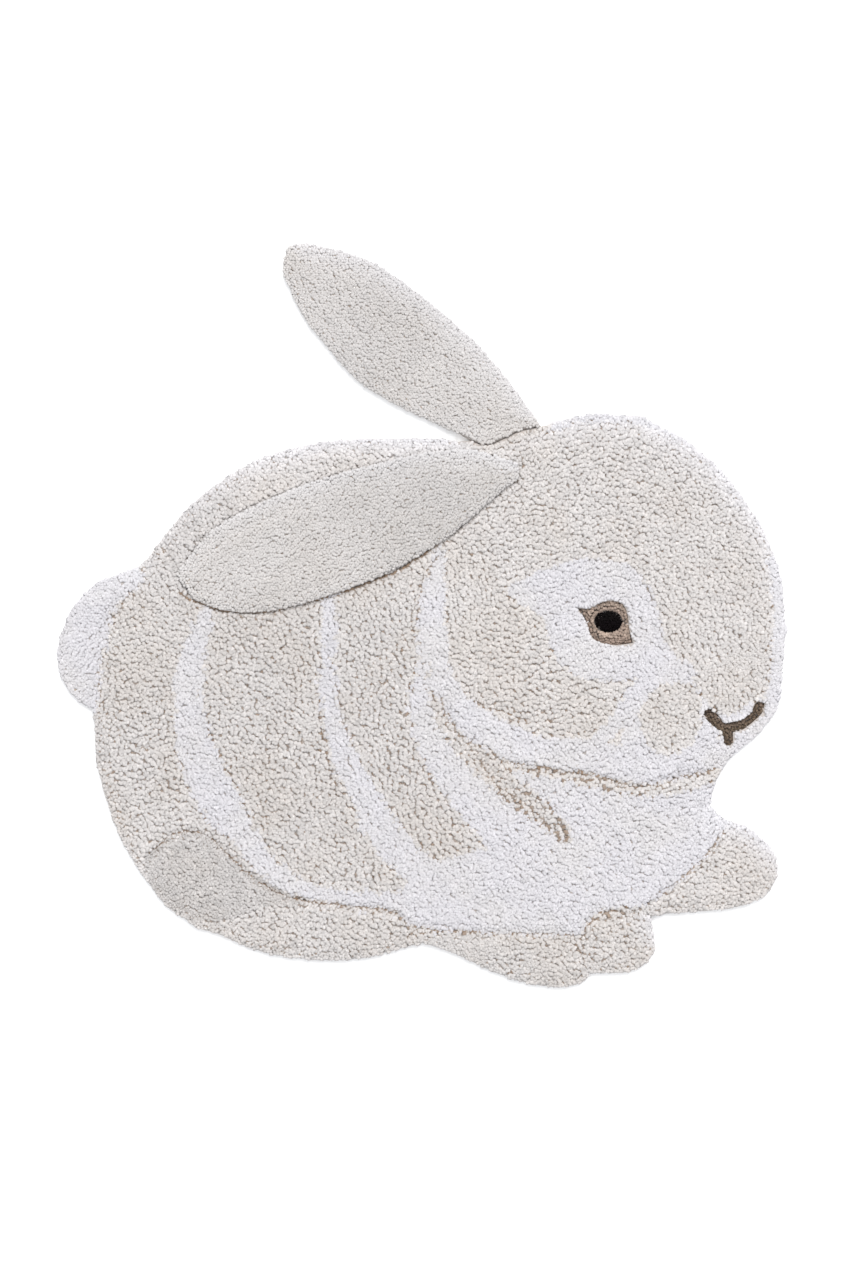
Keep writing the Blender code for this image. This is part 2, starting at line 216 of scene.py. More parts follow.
# Lines where the pile opens: how unbroken, half width, how far it darkens and browns the pile with painted
# shade, x and y.
PARTINGS = (
    # The dark line under the near ear is painted shadow of the ear's lower edge, laid in a real opening of
    # the pile.
    Parting("under the near ear", 1.0, 1.8, 5, ((-362, 35), (-346, 23), (-324, 17), (-302, 8),
        (-272, 5), (-242, 5), (-212, 10), (-182, 19), (-152, 26), (-128, 35), (-106, 38), (-80, 49),
        (-54, 58), (-32, 68), (-9, 83), (24, 104))),
    Parting("seam of the far ear", 0.95, 1.2, 5, ((82, 259), (94, 256), (118, 263), (146, 277),
        (165, 278))),
    Parting("root of the ears", 0.7, 0.8, 4, ((148, 248), (152, 235), (153, 221))),
    Parting("throat", 0.8, 0.8, 4, ((69, -184), (81, -194), (99, -197), (123, -220))),
    Parting("middle band, front edge", 0.7, 0.8, 4, ((-129, -97), (-123, -127), (-118, -157),
        (-106, -187))),
    Parting("patch on the foot", 0.45, 0.8, 5, ((-362, -439), (-346, -436), (-332, -445),
        (-309, -454))),
    Parting("under the jaw", 0.8, 0.7, 5, ((122, -220), (178, -227), (231, -236), (284, -246), (321, -257),
        (358, -256), (388, -242), (442, -232))),
    Parting("front of the chest", 0.8, 0.7, 5, ((28, -119), (39, -149), (58, -179), (88, -217),
        (111, -254), (148, -277), (178, -302), (208, -332))),
    Parting("back of the cheek", 0.6, 0.7, 5, ((28, 91), (6, 61), (-9, 23), (-15, -7), (-12, -37))),
    Parting("cheek fold", 0.9, 0.7, 4, ((80, -127), (118, -143), (158, -158))),
    Parting("hind foot", 0.9, 0.7, 5, ((-414, -362), (-369, -328), (-324, -328), (-286, -362), (-242, -400),
        (-182, -427), (-51, -443), (-21, -466), (-18, -481))),
    Parting("near paw", 0.7, 0.7, 4, ((-9, -472), (88, -475), (208, -479), (231, -487), (246, -526))),
    Parting("far paw", 0.7, 0.7, 4, ((351, -419), (388, -397), (418, -370), (441, -344), (452, -319))),
    Parting("middle band", 0.8, 0.7, 4, ((-158, -112), (-154, -142), (-147, -187), (-138, -224),
        (-129, -251))),
    Parting("short stroke", 0.9, 0.7, 4, ((-242, -277), (-236, -293), (-230, -308))),
    Parting("second stroke", 0.8, 0.7, 4, ((-111, -217), (-105, -226), (-99, -236))),
    Parting("edge of the eye patch", 0.5, 0.7, 4, ((314, 76), (332, 58), (345, 31), (357, -4), (364, -37))),
    Parting("haunch band", 0.5, 0.7, 4, ((-320, -160), (-310, -190), (-284, -244), (-268, -265))),
    Parting("thigh", 0.6, 0.7, 4, ((-374, -194), (-364, -214), (-354, -232))),
    Parting("neck", 0.8, 0.7, 4, ((-64, -97), (-52, -112), (-38, -127))),
    Parting("toe", 0.5, 0.7, 4, ((242, -487), (254, -464), (273, -449), (296, -443), (320, -448),
        (338, -463))),
)
# Single short openings: x, y and half length in millimetres, and heading in degrees.
FLECK_ROWS = (
    (126, 82, 2, 0), (246, 100, 2, 20), (130, 8, 2, -40), (152, -4, 2, -40), (171, -16, 2, -30),
    (196, -83, 2, -60), (204, -97, 2, -60), (254, -152, 2.5, -20), (148, -182, 2, 0),
    (-538, -85, 4, -60), (-519, -112, 4, -30), (-384, -145, 5, -80), (-374, -209, 6, -75),
    (-357, -247, 4, -55), (-298, -224, 4, -60), (-274, -257, 3, -40), (-159, -119, 2, -90),
    (-152, -202, 6, -80), (-136, -247, 3, -60), (-126, -269, 3, -60), (-74, -229, 3, -30),
    (-24, -77, 2, -60), (-256, -386, 3, -20), (-399, 41, 4, -40), (-388, 26, 3, -30), (-354, 1, 3, -30),
    (-406, 50, 3, -60), (316, -137, 2, -60), (328, -184, 3, -60), (351, -199, 3, -20),
    (388, -202, 3, 10), (416, -184, 3, 50), (422, -160, 2.5, 80), (416, -134, 2.5, 100),
    (320, -160, 2.5, -90),
)
# The way the body's pile lies: x, y and heading in degrees.
COMB_ROWS = (
    (-512, -37, -150), (-496, 23, 140), (-526, -112, -130), (-452, -37, -20), (-406, -157, -18),
    (-444, -277, -20), (-384, -292, -24), (-279, -112, -32), (-272, -247, -40), (-196, -67, -45),
    (-196, -187, -52), (-182, -322, -56), (-106, -382, -48), (-76, -112, -62), (-46, -247, -64),
    (14, -322, -55), (-92, -7, -60), (74, -262, -58), (-406, 83, -40), (-242, 203, -45), (-2, 256, -40),
    (88, 173, 8), (74, 23, -75), (208, 263, 4), (344, 233, -14), (448, 143, -38), (516, 23, -66),
    (486, -112, -72), (268, 128, -8), (134, -22, -22), (118, -112, -25), (268, -142, -12),
    (404, -7, -58), (164, 38, 10), (268, 53, -5), (344, -37, -60), (268, -74, -15), (374, -157, -50),
    (118, -202, -28), (268, -232, -8), (404, -232, 10), (268, -337, -35), (148, -427, -25),
    (358, -352, -30), (28, -427, -40), (-332, -487, -22), (-136, -472, -20), (-2, -472, -10),
    (148, -517, -10), (298, -487, -30), (448, -382, -25), (418, -427, -15),
)
# How the pile changes over the body: x, y, how widely it opens and how light it is.
# The lightness is in part painted light: lighter at the head and darker at the haunch.
MOOD_ROWS = (
    (-190, -90, 1.5, -0.4), (-60, -150, 1.7, -0.35), (-240, -230, 1.4, -0.4), (-430, -180, 1.3, -0.35),
    (-400, -430, 1.0, -0.1), (-200, -460, 1.1, -0.2), (-190, 210, 0.35, 0.1), (-340, 120, 0.8, -0.5),
    (-40, 240, 0.35, 0.1), (300, 200, 1.05, 0.1), (110, 130, 1.1, 0.1), (140, -60, 1.35, 0.1),
    (250, 0, 0.6, 0), (440, 40, 1.0, 0.1), (372, -154, 1.1, 0), (250, -330, 3.2, -0.1),
    (60, -440, 1.6, -0.3), (440, -400, 1.0, 0.1), (140, -510, 1.2, -0.3), (-500, 0, 1.0, -0.1),
)
# The same for the ears.
EAR_MOOD_ROWS = (
    (25, 185, 1.2, -1.0), (-70, 160, 1.2, -0.7), (-200, 120, 1.1, -0.1), (-300, 50, 1.0, 0.1),
    (-130, 60, 0.9, 0.1), (60, 240, 1.1, -0.3), (-40, 420, 1.3, -0.5), (30, 340, 1.4, 0.1),
    (-200, 520, 1.1, 0.1), (90, 290, 1.2, 0.2),
)
# Lighter and darker spots of the iris: x, y and lightness.
IRIS_FLECKS = ((264, -16, 1.8), (275, -27, 2.0), (261, -7, 1.2), (284, -37, 0.8), (238, 8, -1.2),
               (246, 2, -0.8), (315, -40, -1.2), (304, -37, -0.6), (300, 12, -0.5))
# The way the ears' pile lies: x, y and heading in degrees.
EAR_COMB_ROWS = ((-200, 480, -40), (60, 330, -36), (-300, 40, 8), (-100, 90, 14), (100, 220, 20))


def smooth_run(points_mm: Points, closed: bool, steps: int = 6) -> np.ndarray:
    """Rounds a run of points into a Catmull-Rom curve.

    Args:
        points_mm: The points, in millimetres. Values after x and y are carried along the curve.
        closed: Whether the run returns to its start.
        steps: Points made for each span.

    Returns:
        The curve's points, in metres.
    """
    knots = np.array(points_mm, float) * MM
    count = len(knots)
    if closed:
        padded = np.vstack([knots[-1:], knots, knots[:2]])
        spans = count
    else:
        padded = np.vstack([2 * knots[0] - knots[1], knots, 2 * knots[-1] - knots[-2]])
        spans = count - 1
    made = []
    for start in range(spans):
        a, b, c, d = padded[start:start + 4]
        for t in np.arange(steps) / steps:
            made.append(0.5 * (2 * b + (c - a) * t + (2 * a - 5 * b + 4 * c - d) * t * t
                               + (3 * b - a - 3 * c + d) * t ** 3))
    if not closed:
        made.append(knots[-1])
    return np.array(made)


def is_under(face: bmesh.types.BMFace, floor: float) -> bool:
    """Says whether a face belongs to the flat underside of a panel that begins at a height."""
    return face.normal.z < -0.9 and face.calc_center_median().z < floor + 0.2 * MM


@dataclass
class Edge:
    """An edge seen in plan, as loose straight segments.

    Args:
        segments: Start and end of each segment, in metres, shaped (count, 2, 2).
        chunk: Places worked on at a time.
    """

    segments: np.ndarray
    chunk: int = 3000

    @classmethod
    def from_run(cls, run: np.ndarray, closed: bool) -> Self:
        """Makes the edge from the points of one curve.

        Args:
            run: The curve's points.
            closed: Whether the curve returns to its start.

        Returns:
            The edge.
        """
        ends = np.roll(run, -1, axis=0) if closed else run[1:]
        starts = run if closed else run[:-1]
        return cls(np.stack([starts[:, :2], ends[:, :2]], axis=1))

    @classmethod
    def from_node(cls, name: str) -> Self:
        """Makes the edge from the rim of a CAD node's flat underside.

        Args:
            name: The node.

        Returns:
            The edge.
        """
        mesh = bmesh.new()
        mesh.from_mesh(frame["nodes"][name].data)
        bmesh.ops.remove_doubles(mesh, verts=mesh.verts, dist=1e-6)
        mesh.normal_update()
        floor = min(v.co.z for v in mesh.verts)
        under = {f for f in mesh.faces if is_under(f, floor)}
        found = [[v.co.xy[:] for v in e.verts] for e in mesh.edges
                 if sum(f in under for f in e.link_faces) == 1]
        mesh.free()
        return cls(np.array(found))

    def contains(self, places: np.ndarray) -> np.ndarray:
        """Says for each place whether it lies inside the edge.

        Args:
            places: Places in plan, shaped (count, 2).

        Returns:
            True or false for each place.
        """
        inside = np.zeros(len(places), bool)
        a, b = self.segments[:, 0], self.segments[:, 1]
        rise = np.where(b[:, 1] == a[:, 1], 1e-12, b[:, 1] - a[:, 1])
        for first in range(0, len(places), self.chunk):
            part = places[first:first + self.chunk]
            spans = (a[:, 1] > part[:, 1:2]) != (b[:, 1] > part[:, 1:2])
            cross = a[:, 0] + (part[:, 1:2] - a[:, 1]) / rise * (b[:, 0] - a[:, 0])
            inside[first:first + self.chunk] = np.sum(spans & (part[:, :1] < cross), axis=1) % 2 == 1
        return inside

    def nearest(self, places: np.ndarray) -> tuple[np.ndarray, np.ndarray]:
        """Finds the nearest point of the edge to each place.

        Args:
            places: Places in plan, shaped (count, 2).

        Returns:
            The distances, and the unit vectors from the places towards the edge.
        """
        distance = np.empty(len(places))
        heading = np.empty((len(places), 2))
        a = self.segments[:, 0]
        run = self.segments[:, 1] - a
        length2 = np.maximum(np.sum(run * run, axis=1), 1e-18)
        for first in range(0, len(places), self.chunk):
            part = places[first:first + self.chunk, None, :]
            share = np.clip(np.sum((part - a) * run, axis=2) / length2, 0, 1)
            gap = a + share[..., None] * run - part
            size = np.linalg.norm(gap, axis=2)
            best = np.argmin(size, axis=1)
            rows = np.arange(len(best))
            least = size[rows, best]
            distance[first:first + self.chunk] = least
            heading[first:first + self.chunk] = gap[rows, best] / np.maximum(least, 1e-9)[:, None]
        return distance, heading


def in_stroke(stroke: Stroke, places: np.ndarray) -> np.ndarray:
    """Gives for each place its distance into a stroke.

    Args:
        stroke: The stroke.
        places: Places in plan, shaped (count, 2).

    Returns:
        The distances, negative outside the stroke.
    """
    run = smooth_run(stroke.points_mm, closed=False)
    best = np.full(len(places), -1.0)
    for point in run:
        best = np.maximum(best, point[2] - np.hypot(places[:, 0] - point[0], places[:, 1] - point[1]))
    return best


def in_patch(patch: Patch, places: np.ndarray) -> np.ndarray:
    """Gives for each place its distance into a patch.

    Args:
        patch: The patch.
        places: Places in plan, shaped (count, 2).

    Returns:
        The distances, negative outside the patch.
    """
    edge = Edge.from_run(smooth_run(patch.points_mm, closed=True), closed=True)
    distance, _ = edge.nearest(places)
    return np.where(edge.contains(places), distance, -distance)


def depth_in(strokes: Sequence[Stroke], patches: Sequence[Patch], places: np.ndarray) -> np.ndarray:
    """Gives for each place how deep it lies in the nearest of some areas.

    Args:
        strokes: Areas that are strokes.
        patches: Areas that are patches.
        places: Places in plan, shaped (count, 2).

    Returns:
        The depths, negative outside all the areas.
    """
    depths = [in_stroke(s, places) for s in strokes] + [in_patch(p, places) for p in patches]
    return np.max(depths, axis=0)


def turned(way: np.ndarray, angle: np.ndarray) -> np.ndarray:
    """Turns each direction in plan by its own angle."""
    return np.stack([way[:, 0] * np.cos(angle) - way[:, 1] * np.sin(angle),
                     way[:, 0] * np.sin(angle) + way[:, 1] * np.cos(angle)], axis=1)


def facing_window(way: np.ndarray) -> np.ndarray:
    """Says how much each direction in plan is turned to the window, from 0 to 1."""
    return np.clip(way @ np.array(WINDOW), 0, 1)


@dataclass
class Comb:
    """The way the pile lies, smoothly between places where it is known.

    Args:
        rows: Place in millimetres and heading in degrees of each known place.
        power: How fast the hold of a known place falls off.
        core: Distance within which a known place alone holds.
    """

    rows: Points
    power: float = 1.6
    core: float = 12 * MM

    def headings(self, places: np.ndarray) -> np.ndarray:
        """Gives the direction in which the pile lies at each place.

        Args:
            places: Places in plan, shaped (count, 2).

        Returns:
            Unit directions in plan.
        """
        rows = np.array(self.rows, float)
        known = rows[:, :2] * MM
        angle = np.radians(rows[:, 2])
        reach = np.sum((places[:, None, :] - known) ** 2, axis=2) + self.core ** 2
        weight = reach ** -self.power
        way = weight @ np.stack([np.cos(angle), np.sin(angle)], axis=1)
        return way / np.linalg.norm(way, axis=1)[:, None]


def mood(rows: Points, places: np.ndarray) -> np.ndarray:
    """Gives how widely the pile opens at each place, and its lightness.

    Args:
        rows: Place in millimetres, openness and lightness of each known place.
        places: Places in plan, shaped (count, 2).

    Returns:
        The openness, 1 being usual, and the lightness around 0, in two columns.
    """
    known = np.array(rows, float)
    weight = (np.sum((places[:, None, :] - known[:, :2] * MM) ** 2, axis=2) + (20 * MM) ** 2) ** -2.0
    return weight @ known[:, 2:] / weight.sum(axis=1)[:, None]


@dataclass
class Surface:
    """The top of a CAD node, read by looking straight down on it.

    Args:
        name: The node.
        start: Height from which it is looked at.
        tree: The node's triangles, read when the surface is made.
    """

    name: str
    start: float = 0.2
    tree: BVHTree = field(init=False)

    def __post_init__(self) -> None:
        """Reads the node's mesh once."""
        mesh = frame["nodes"][self.name].data
        self.tree = BVHTree.FromPolygons([v.co for v in mesh.vertices],
                                         [tuple(p.vertices) for p in mesh.polygons])

    def heights(self, places: np.ndarray, missing: float) -> np.ndarray:
        """Gives the node's height at each place.

        Args:
            places: Places in plan, shaped (count, 2).
            missing: Height given beside the node.

        Returns:
            The heights.
        """
        down = Vector((0, 0, -1))
        found = np.full(len(places), missing)
        for index, (x, y) in enumerate(places):
            hit = self.tree.ray_cast(Vector((x, y, self.start)), down)[0]
            if hit is not None:
                found[index] = hit.z
        return found


def scattered(low: np.ndarray, high: np.ndarray, spacing: float, jitter: float,
              draw: np.random.Generator) -> np.ndarray:
    """Scatters places over a rectangle in staggered rows, each moved a little.

    Args:
        low: Lowest corner in plan.
        high: Highest corner in plan.
        spacing: Distance between neighbours.
        jitter: Largest move, as a share of the spacing.
        draw: Source of chance.

    Returns:
        The places, shaped (count, 2).
    """
    rise = spacing * math.sqrt(0.75)
    columns = np.arange(low[0], high[0], spacing)
    made = []
    for row, y in enumerate(np.arange(low[1], high[1], rise)):
        x = columns + (row % 2) * spacing / 2
        made.append(np.stack([x, np.full(len(x), y)], axis=1))
    places = np.concatenate(made)
    return places + draw.uniform(-jitter, jitter, places.shape) * spacing


def tree_of(spots: np.ndarray) -> KDTree:
    """Makes a tree that finds the nearest of some places in plan.

    Args:
        spots: The places, shaped (count, 2).

    Returns:
        The tree.
    """
    tree = KDTree(len(spots))
    for index, (x, y) in enumerate(spots):
        tree.insert((x, y, 0), index)
    tree.balance()
    return tree


def wobble(places: np.ndarray, scale: float, layer: float) -> np.ndarray:
    """Gives a smooth chance value at each place, from -1 to 1.

    Args:
        places: Places in plan, shaped (count, 2).
        scale: Ups and downs to the metre.
        layer: Layer of the noise that is read.

    Returns:
        The values.
    """
    return np.array([noise.noise(Vector((x * scale, y * scale, layer))) for x, y in places])


def deselect() -> None:
    """Leaves edit mode if needed and deselects every object."""
    if bpy.context.object and bpy.context.object.mode != "OBJECT":
        bpy.ops.object.mode_set(mode="OBJECT")
    bpy.ops.object.select_all(action="DESELECT")


@dataclass(frozen=True)
class LockShape:
    """One cut lock of yarn of height 1 and half width 1, modelled once and copied.

    Args:
        sides: Sides of its cross-section.
        belly: Share of the height where it is widest.
        end: Share of the height where it is cut off.
        end_width: Half width at the cut.
    """

    sides: int
    belly: float = 0.55
    end: float = 0.95
    end_width: float = 0.90

    def model(self) -> tuple[np.ndarray, np.ndarray]:
        """Models the lock with its root at the origin.

        Returns:
            Its points, and the point numbers of its triangles.
        """
        deselect()
        depth = self.end - self.belly
        bpy.ops.mesh.primitive_cone_add(vertices=self.sides, radius1=1, radius2=self.end_width,
                                        depth=depth, end_fill_type="NGON",
                                        location=(0, 0, self.belly + depth / 2))
        lock = bpy.context.object
        bpy.ops.object.transform_apply(location=True, rotation=True, scale=True)
        bpy.ops.object.mode_set(mode="EDIT")
        bpy.ops.mesh.select_mode(type="FACE")
        bpy.ops.mesh.select_all(action="DESELECT")
        bpy.ops.object.mode_set(mode="OBJECT")
        for side in lock.data.polygons:
            side.select = side.normal.z < -0.99
        bpy.ops.object.mode_set(mode="EDIT")
        bpy.ops.mesh.poke(offset=self.belly)
        bpy.ops.mesh.select_all(action="SELECT")
        bpy.ops.mesh.quads_convert_to_tris()
        bpy.ops.mesh.normals_make_consistent(inside=False)
        bpy.ops.object.mode_set(mode="OBJECT")
        points = np.array([v.co[:] for v in lock.data.vertices])
        faces = np.array([p.vertices[:] for p in lock.data.polygons])
        bpy.data.objects.remove(lock)
        return points, faces


STANDING_LOCK = LockShape(sides=4)
HANGING_LOCK = LockShape(sides=5, belly=0.6, end=0.92, end_width=0.85)


@dataclass
class Rows:
    """Arrays about the same things, with one row for each."""

    def only(self, chosen: np.ndarray) -> Self:
        """Keeps the chosen rows."""
        return type(self)(*(getattr(self, key.name)[chosen] for key in fields(self)))

    def joined(self, other: Self) -> Self:
        """Adds the rows of another after these."""
        return type(self)(*(np.concatenate([getattr(self, key.name), getattr(other, key.name)])
                            for key in fields(self)))


@dataclass
class Locks(Rows):
    """Many locks of yarn, each by its root, its tip and its own values.

    Args:
        root: Roots in space, shaped (count, 3).
        tip: Tips in space, shaped (count, 3).
        width: Half widths.
        turn: How far each is turned about itself.
        tone: Lightness of each lock, around 0, from uneven yarn and in places from painted light and
            shadow.
        tint: How brown and dark the root of each is, from 0 to 1, in part painted shade at partings and on
            the rim away from the window.
        lit: How far each shows the colour of its cut end, as painted light: 0 down in a slit as painted
            shade, 1 in the pile, more at a rim as a painted highlight.
        shine: How much each takes the painted highlight of the window's light, from 0 to 1.
    """

    root: np.ndarray
    tip: np.ndarray
    width: np.ndarray
    turn: np.ndarray
    tone: np.ndarray
    tint: np.ndarray
    lit: np.ndarray
    shine: np.ndarray

    def mesh(self, name: str, shape: LockShape) -> bpy.types.Object:
        """Copies the lock shape to every place, bent over from its root to its tip, as one mesh.

        Args:
            name: Name of the piece.
            shape: The lock that is copied.

        Returns:
            The piece, with its depth, tone, tint and shine kept as attributes.
        """
        points, faces = shape.model()
        count, each = len(self.root), len(points)
        t = points[:, 2]
        upright = np.array([0, 0, 1.0])
        lean = self.tip - self.root
        reach = np.maximum(np.linalg.norm(lean[:, :2], axis=1), 1e-6)
        along = np.concatenate([lean[:, :2] / reach[:, None], np.zeros((count, 1))], axis=1)
        across = np.stack([-along[:, 1], along[:, 0], np.zeros(count)], axis=1)
        out = t ** BEND
        up = 1 - (1 - t) ** BEND
        slope_out = BEND * np.sqrt(t)
        slope_up = BEND * np.sqrt(np.clip(1 - t, 0, 1)) + 0.15
        tangent = (along[:, None, :] * (reach[:, None] * slope_out)[..., None]
                   + upright * (lean[:, 2:3] * slope_up)[..., None])
        tangent /= np.linalg.norm(tangent, axis=2)[..., None]
        side = np.broadcast_to(across[:, None, :], tangent.shape)
        front = np.cross(tangent, side)
        angle = self.turn[:, None] + TWIST * t[None, :]
        u = points[:, 0] * np.cos(angle) - points[:, 1] * np.sin(angle)
        v = points[:, 0] * np.sin(angle) + points[:, 1] * np.cos(angle)
        centre = self.root[:, None, :] + along[:, None, :] * (reach[:, None] * out)[..., None]
        centre = centre + upright * (lean[:, 2:3] * up)[..., None]
        made = centre + self.width[:, None, None] * (u[..., None] * side - v[..., None] * front)
        piece = mesh_piece(name, made.reshape(-1, 3),
                           (faces[None] + (np.arange(count) * each)[:, None, None]).reshape(-1, CORNERS))
        # The depth attribute carries painted shade low on each lock and in the slits, and a painted
        # highlight at a rim where lit is above 1.
        lit = self.lit[:, None]
        keep_values(piece, "depth", np.clip(lit * t + np.maximum(lit - 1, 0), 0, 1).ravel())
        for label in ("tone", "tint", "shine"):
            keep_values(piece, label, np.repeat(getattr(self, label), each))
        return piece


def mesh_piece(name: str, points: np.ndarray, faces: np.ndarray) -> bpy.types.Object:
    """Makes a smooth shaded piece from points and triangles.

    Args:
        name: Name of the piece.
        points: Its points, shaped (count, 3).
        faces: Point numbers of its triangles, shaped (count, 3).

    Returns:
        The piece.
    """
    mesh = bpy.data.meshes.new(name)
    mesh.vertices.add(len(points))
    mesh.vertices.foreach_set("co", points.astype(np.float32).ravel())
    mesh.loops.add(faces.size)
    mesh.loops.foreach_set("vertex_index", faces.astype(np.int32).ravel())
    mesh.polygons.add(len(faces))
    mesh.polygons.foreach_set("loop_start", np.arange(len(faces), dtype=np.int32) * CORNERS)
    mesh.polygons.foreach_set("use_smooth", np.ones(len(faces), bool))
    mesh.update(calc_edges=True)
    mesh.validate()
    piece = bpy.data.objects.new(name, mesh)
    bpy.context.scene.collection.objects.link(piece)
    return piece


def keep_values(piece: bpy.types.Object, name: str, values: np.ndarray) -> None:
    """Keeps one value for each point of a piece as a named attribute."""
    kept = piece.data.attributes.new(name, "FLOAT", "POINT")
    kept.data.foreach_set("value", values.astype(np.float32))


# Finishes


class Tree:
    """Short ways to add and join nodes in a node tree."""

    def __init__(self, tree: bpy.types.NodeTree) -> None:
        """Takes the tree to work in."""
        self.tree = tree

    def add(self, kind: str, **values: object) -> bpy.types.Node:
        """Adds a node and sets its properties.

        Args:
            kind: Blender's name of the node type.
            **values: Properties, or inputs where the name is in_ and the input's number.

        Returns:
            The node.
        """
        node = self.tree.nodes.new(kind)
        for key, value in values.items():
            if key.startswith("in_"):
                node.inputs[int(key[3:])].default_value = value
            else:
                setattr(node, key, value)
        return node

    def join(self, source: bpy.types.NodeSocket, target: bpy.types.NodeSocket) -> None:
        """Links an output to an input."""
        self.tree.links.new(source, target)

    def feed(self, target: bpy.types.NodeSocket, value: object) -> None:
        """Gives an input its value.

        Args:
            target: The input.
            value: A number, a colour or the output that it is linked to.
        """
        if isinstance(value, bpy.types.NodeSocket):
            self.join(value, target)
        else:
            target.default_value = value

    def attribute(self, name: str) -> bpy.types.NodeSocket:
        """Reads a named value of the piece."""
        return self.add("ShaderNodeAttribute", attribute_name=name).outputs["Fac"]

    def math(self, operation: str, first: object, second: object) -> bpy.types.NodeSocket:
        """Works on two values.

        Args:
            operation: Blender's name of the operation.
            first: A number or an output.
            second: A number or an output.

        Returns:
            The result's output.
        """
        node = self.add("ShaderNodeMath", operation=operation)
        for socket, value in zip(node.inputs, (first, second)):
            self.feed(socket, value)
        return node.outputs[0]

    def mix(self, share: object, first: object, second: object) -> bpy.types.NodeSocket:
        """Mixes two colours.

        Args:
            share: Share of the second, a number or an output.
            first: A colour or an output.
            second: A colour or an output.

        Returns:
            The mixed colour's output.
        """
        node = self.add("ShaderNodeMix", data_type="RGBA")
        for socket, value in ((node.inputs[0], share), (node.inputs[6], first), (node.inputs[7], second)):
            self.feed(socket, value)
        return node.outputs[2]


def new_group(name: str, inputs: Sequence[tuple[str, str, object]],
              outputs: Sequence[tuple[str, str]]) -> tuple[bpy.types.NodeTree, Tree, object, object]:
    """Makes an empty shader node group with named sockets.

    Args:
        name: Name of the group.
        inputs: Name, socket type and default of each input.
        outputs: Name and socket type of each output.

    Returns:
        The group, its tree helper, its input node and its output node.
    """
    group = bpy.data.node_groups.new(name, "ShaderNodeTree")
    for label, kind, value in inputs:
        socket = group.interface.new_socket(label, in_out="INPUT", socket_type=kind)
        if kind != "NodeSocketVector":
            socket.default_value = value
    for label, kind in outputs:
        group.interface.new_socket(label, in_out="OUTPUT", socket_type=kind)
    tree = Tree(group)
    return group, tree, tree.add("NodeGroupInput"), tree.add("NodeGroupOutput")


def yarn_colour_and_painted_light_group() -> bpy.types.NodeTree:
    """Makes the group that colours yarn: darker and browner at the root as painted shade, lighter where it
    faces the window as a painted highlight, uneven from lock to lock.

    Returns:
        The group.
    """
    group, tree, given, made = new_group("yarn colour and painted light", (
        ("Yarn", "NodeSocketColor", (1, 1, 1, 1)), ("Root", "NodeSocketColor", (0, 0, 0, 1)),
        ("Brown", "NodeSocketColor", (0, 0, 0, 1)), ("Lit", "NodeSocketColor", (1, 1, 1, 1)),
        ("Warm", "NodeSocketColor", (1, 1, 1, 1)), ("Unevenness", "NodeSocketFloat", 0.1)),
        (("Colour", "NodeSocketColor"),))
    depth = tree.attribute("depth")
    rise = tree.add("ShaderNodeMapRange", interpolation_type="SMOOTHSTEP", in_1=0.25, in_2=0.8)
    tree.join(depth, rise.inputs[0])
    place = tree.add("ShaderNodeTexCoord").outputs["Object"]
    mottle = tree.add("ShaderNodeTexNoise", in_2=55.0, in_3=3.0, in_4=0.55)
    tree.join(place, mottle.inputs["Vector"])
    strand = tree.add("ShaderNodeTexNoise", in_2=900.0, in_3=2.0, in_4=0.6)
    tree.join(place, strand.inputs["Vector"])
    # The root colour is painted shade deep in the pile; tint turns it browner and darker.
    root = tree.mix(tree.attribute("tint"), given.outputs["Root"], given.outputs["Brown"])
    cloud = tree.add("ShaderNodeTexNoise", in_2=11.0, in_3=3.0, in_4=0.6)
    tree.join(place, cloud.inputs["Vector"])
    share = tree.add("ShaderNodeMapRange", interpolation_type="SMOOTHSTEP", in_1=0.38, in_2=0.66)
    tree.join(cloud.outputs["Fac"], share.inputs[0])
    end = tree.mix(share.outputs[0], given.outputs["Yarn"], given.outputs["Warm"])
    # Shine mixes in the lit colour: a painted highlight where the pile faces the window.
    end = tree.mix(tree.attribute("shine"), end, given.outputs["Lit"])
    # Depth rises from the painted shade at the root to the colour of the cut end.
    colour = tree.mix(rise.outputs[0], root, end)
    uneven = tree.math("ADD", tree.math("MULTIPLY", tree.attribute("tone"), 0.6),
                       tree.math("SUBTRACT", mottle.outputs["Fac"], 0.5))
    uneven = tree.math("ADD", uneven, tree.math("SUBTRACT", strand.outputs["Fac"], 0.5))
    gain = tree.math("ADD", tree.math("MULTIPLY", uneven, given.outputs["Unevenness"]), 1.0)
    shade = tree.add("ShaderNodeVectorMath", operation="SCALE")
    tree.join(colour, shade.inputs[0])
    tree.join(gain, shade.inputs["Scale"])
    tree.join(shade.outputs[0], made.inputs[0])
    return group


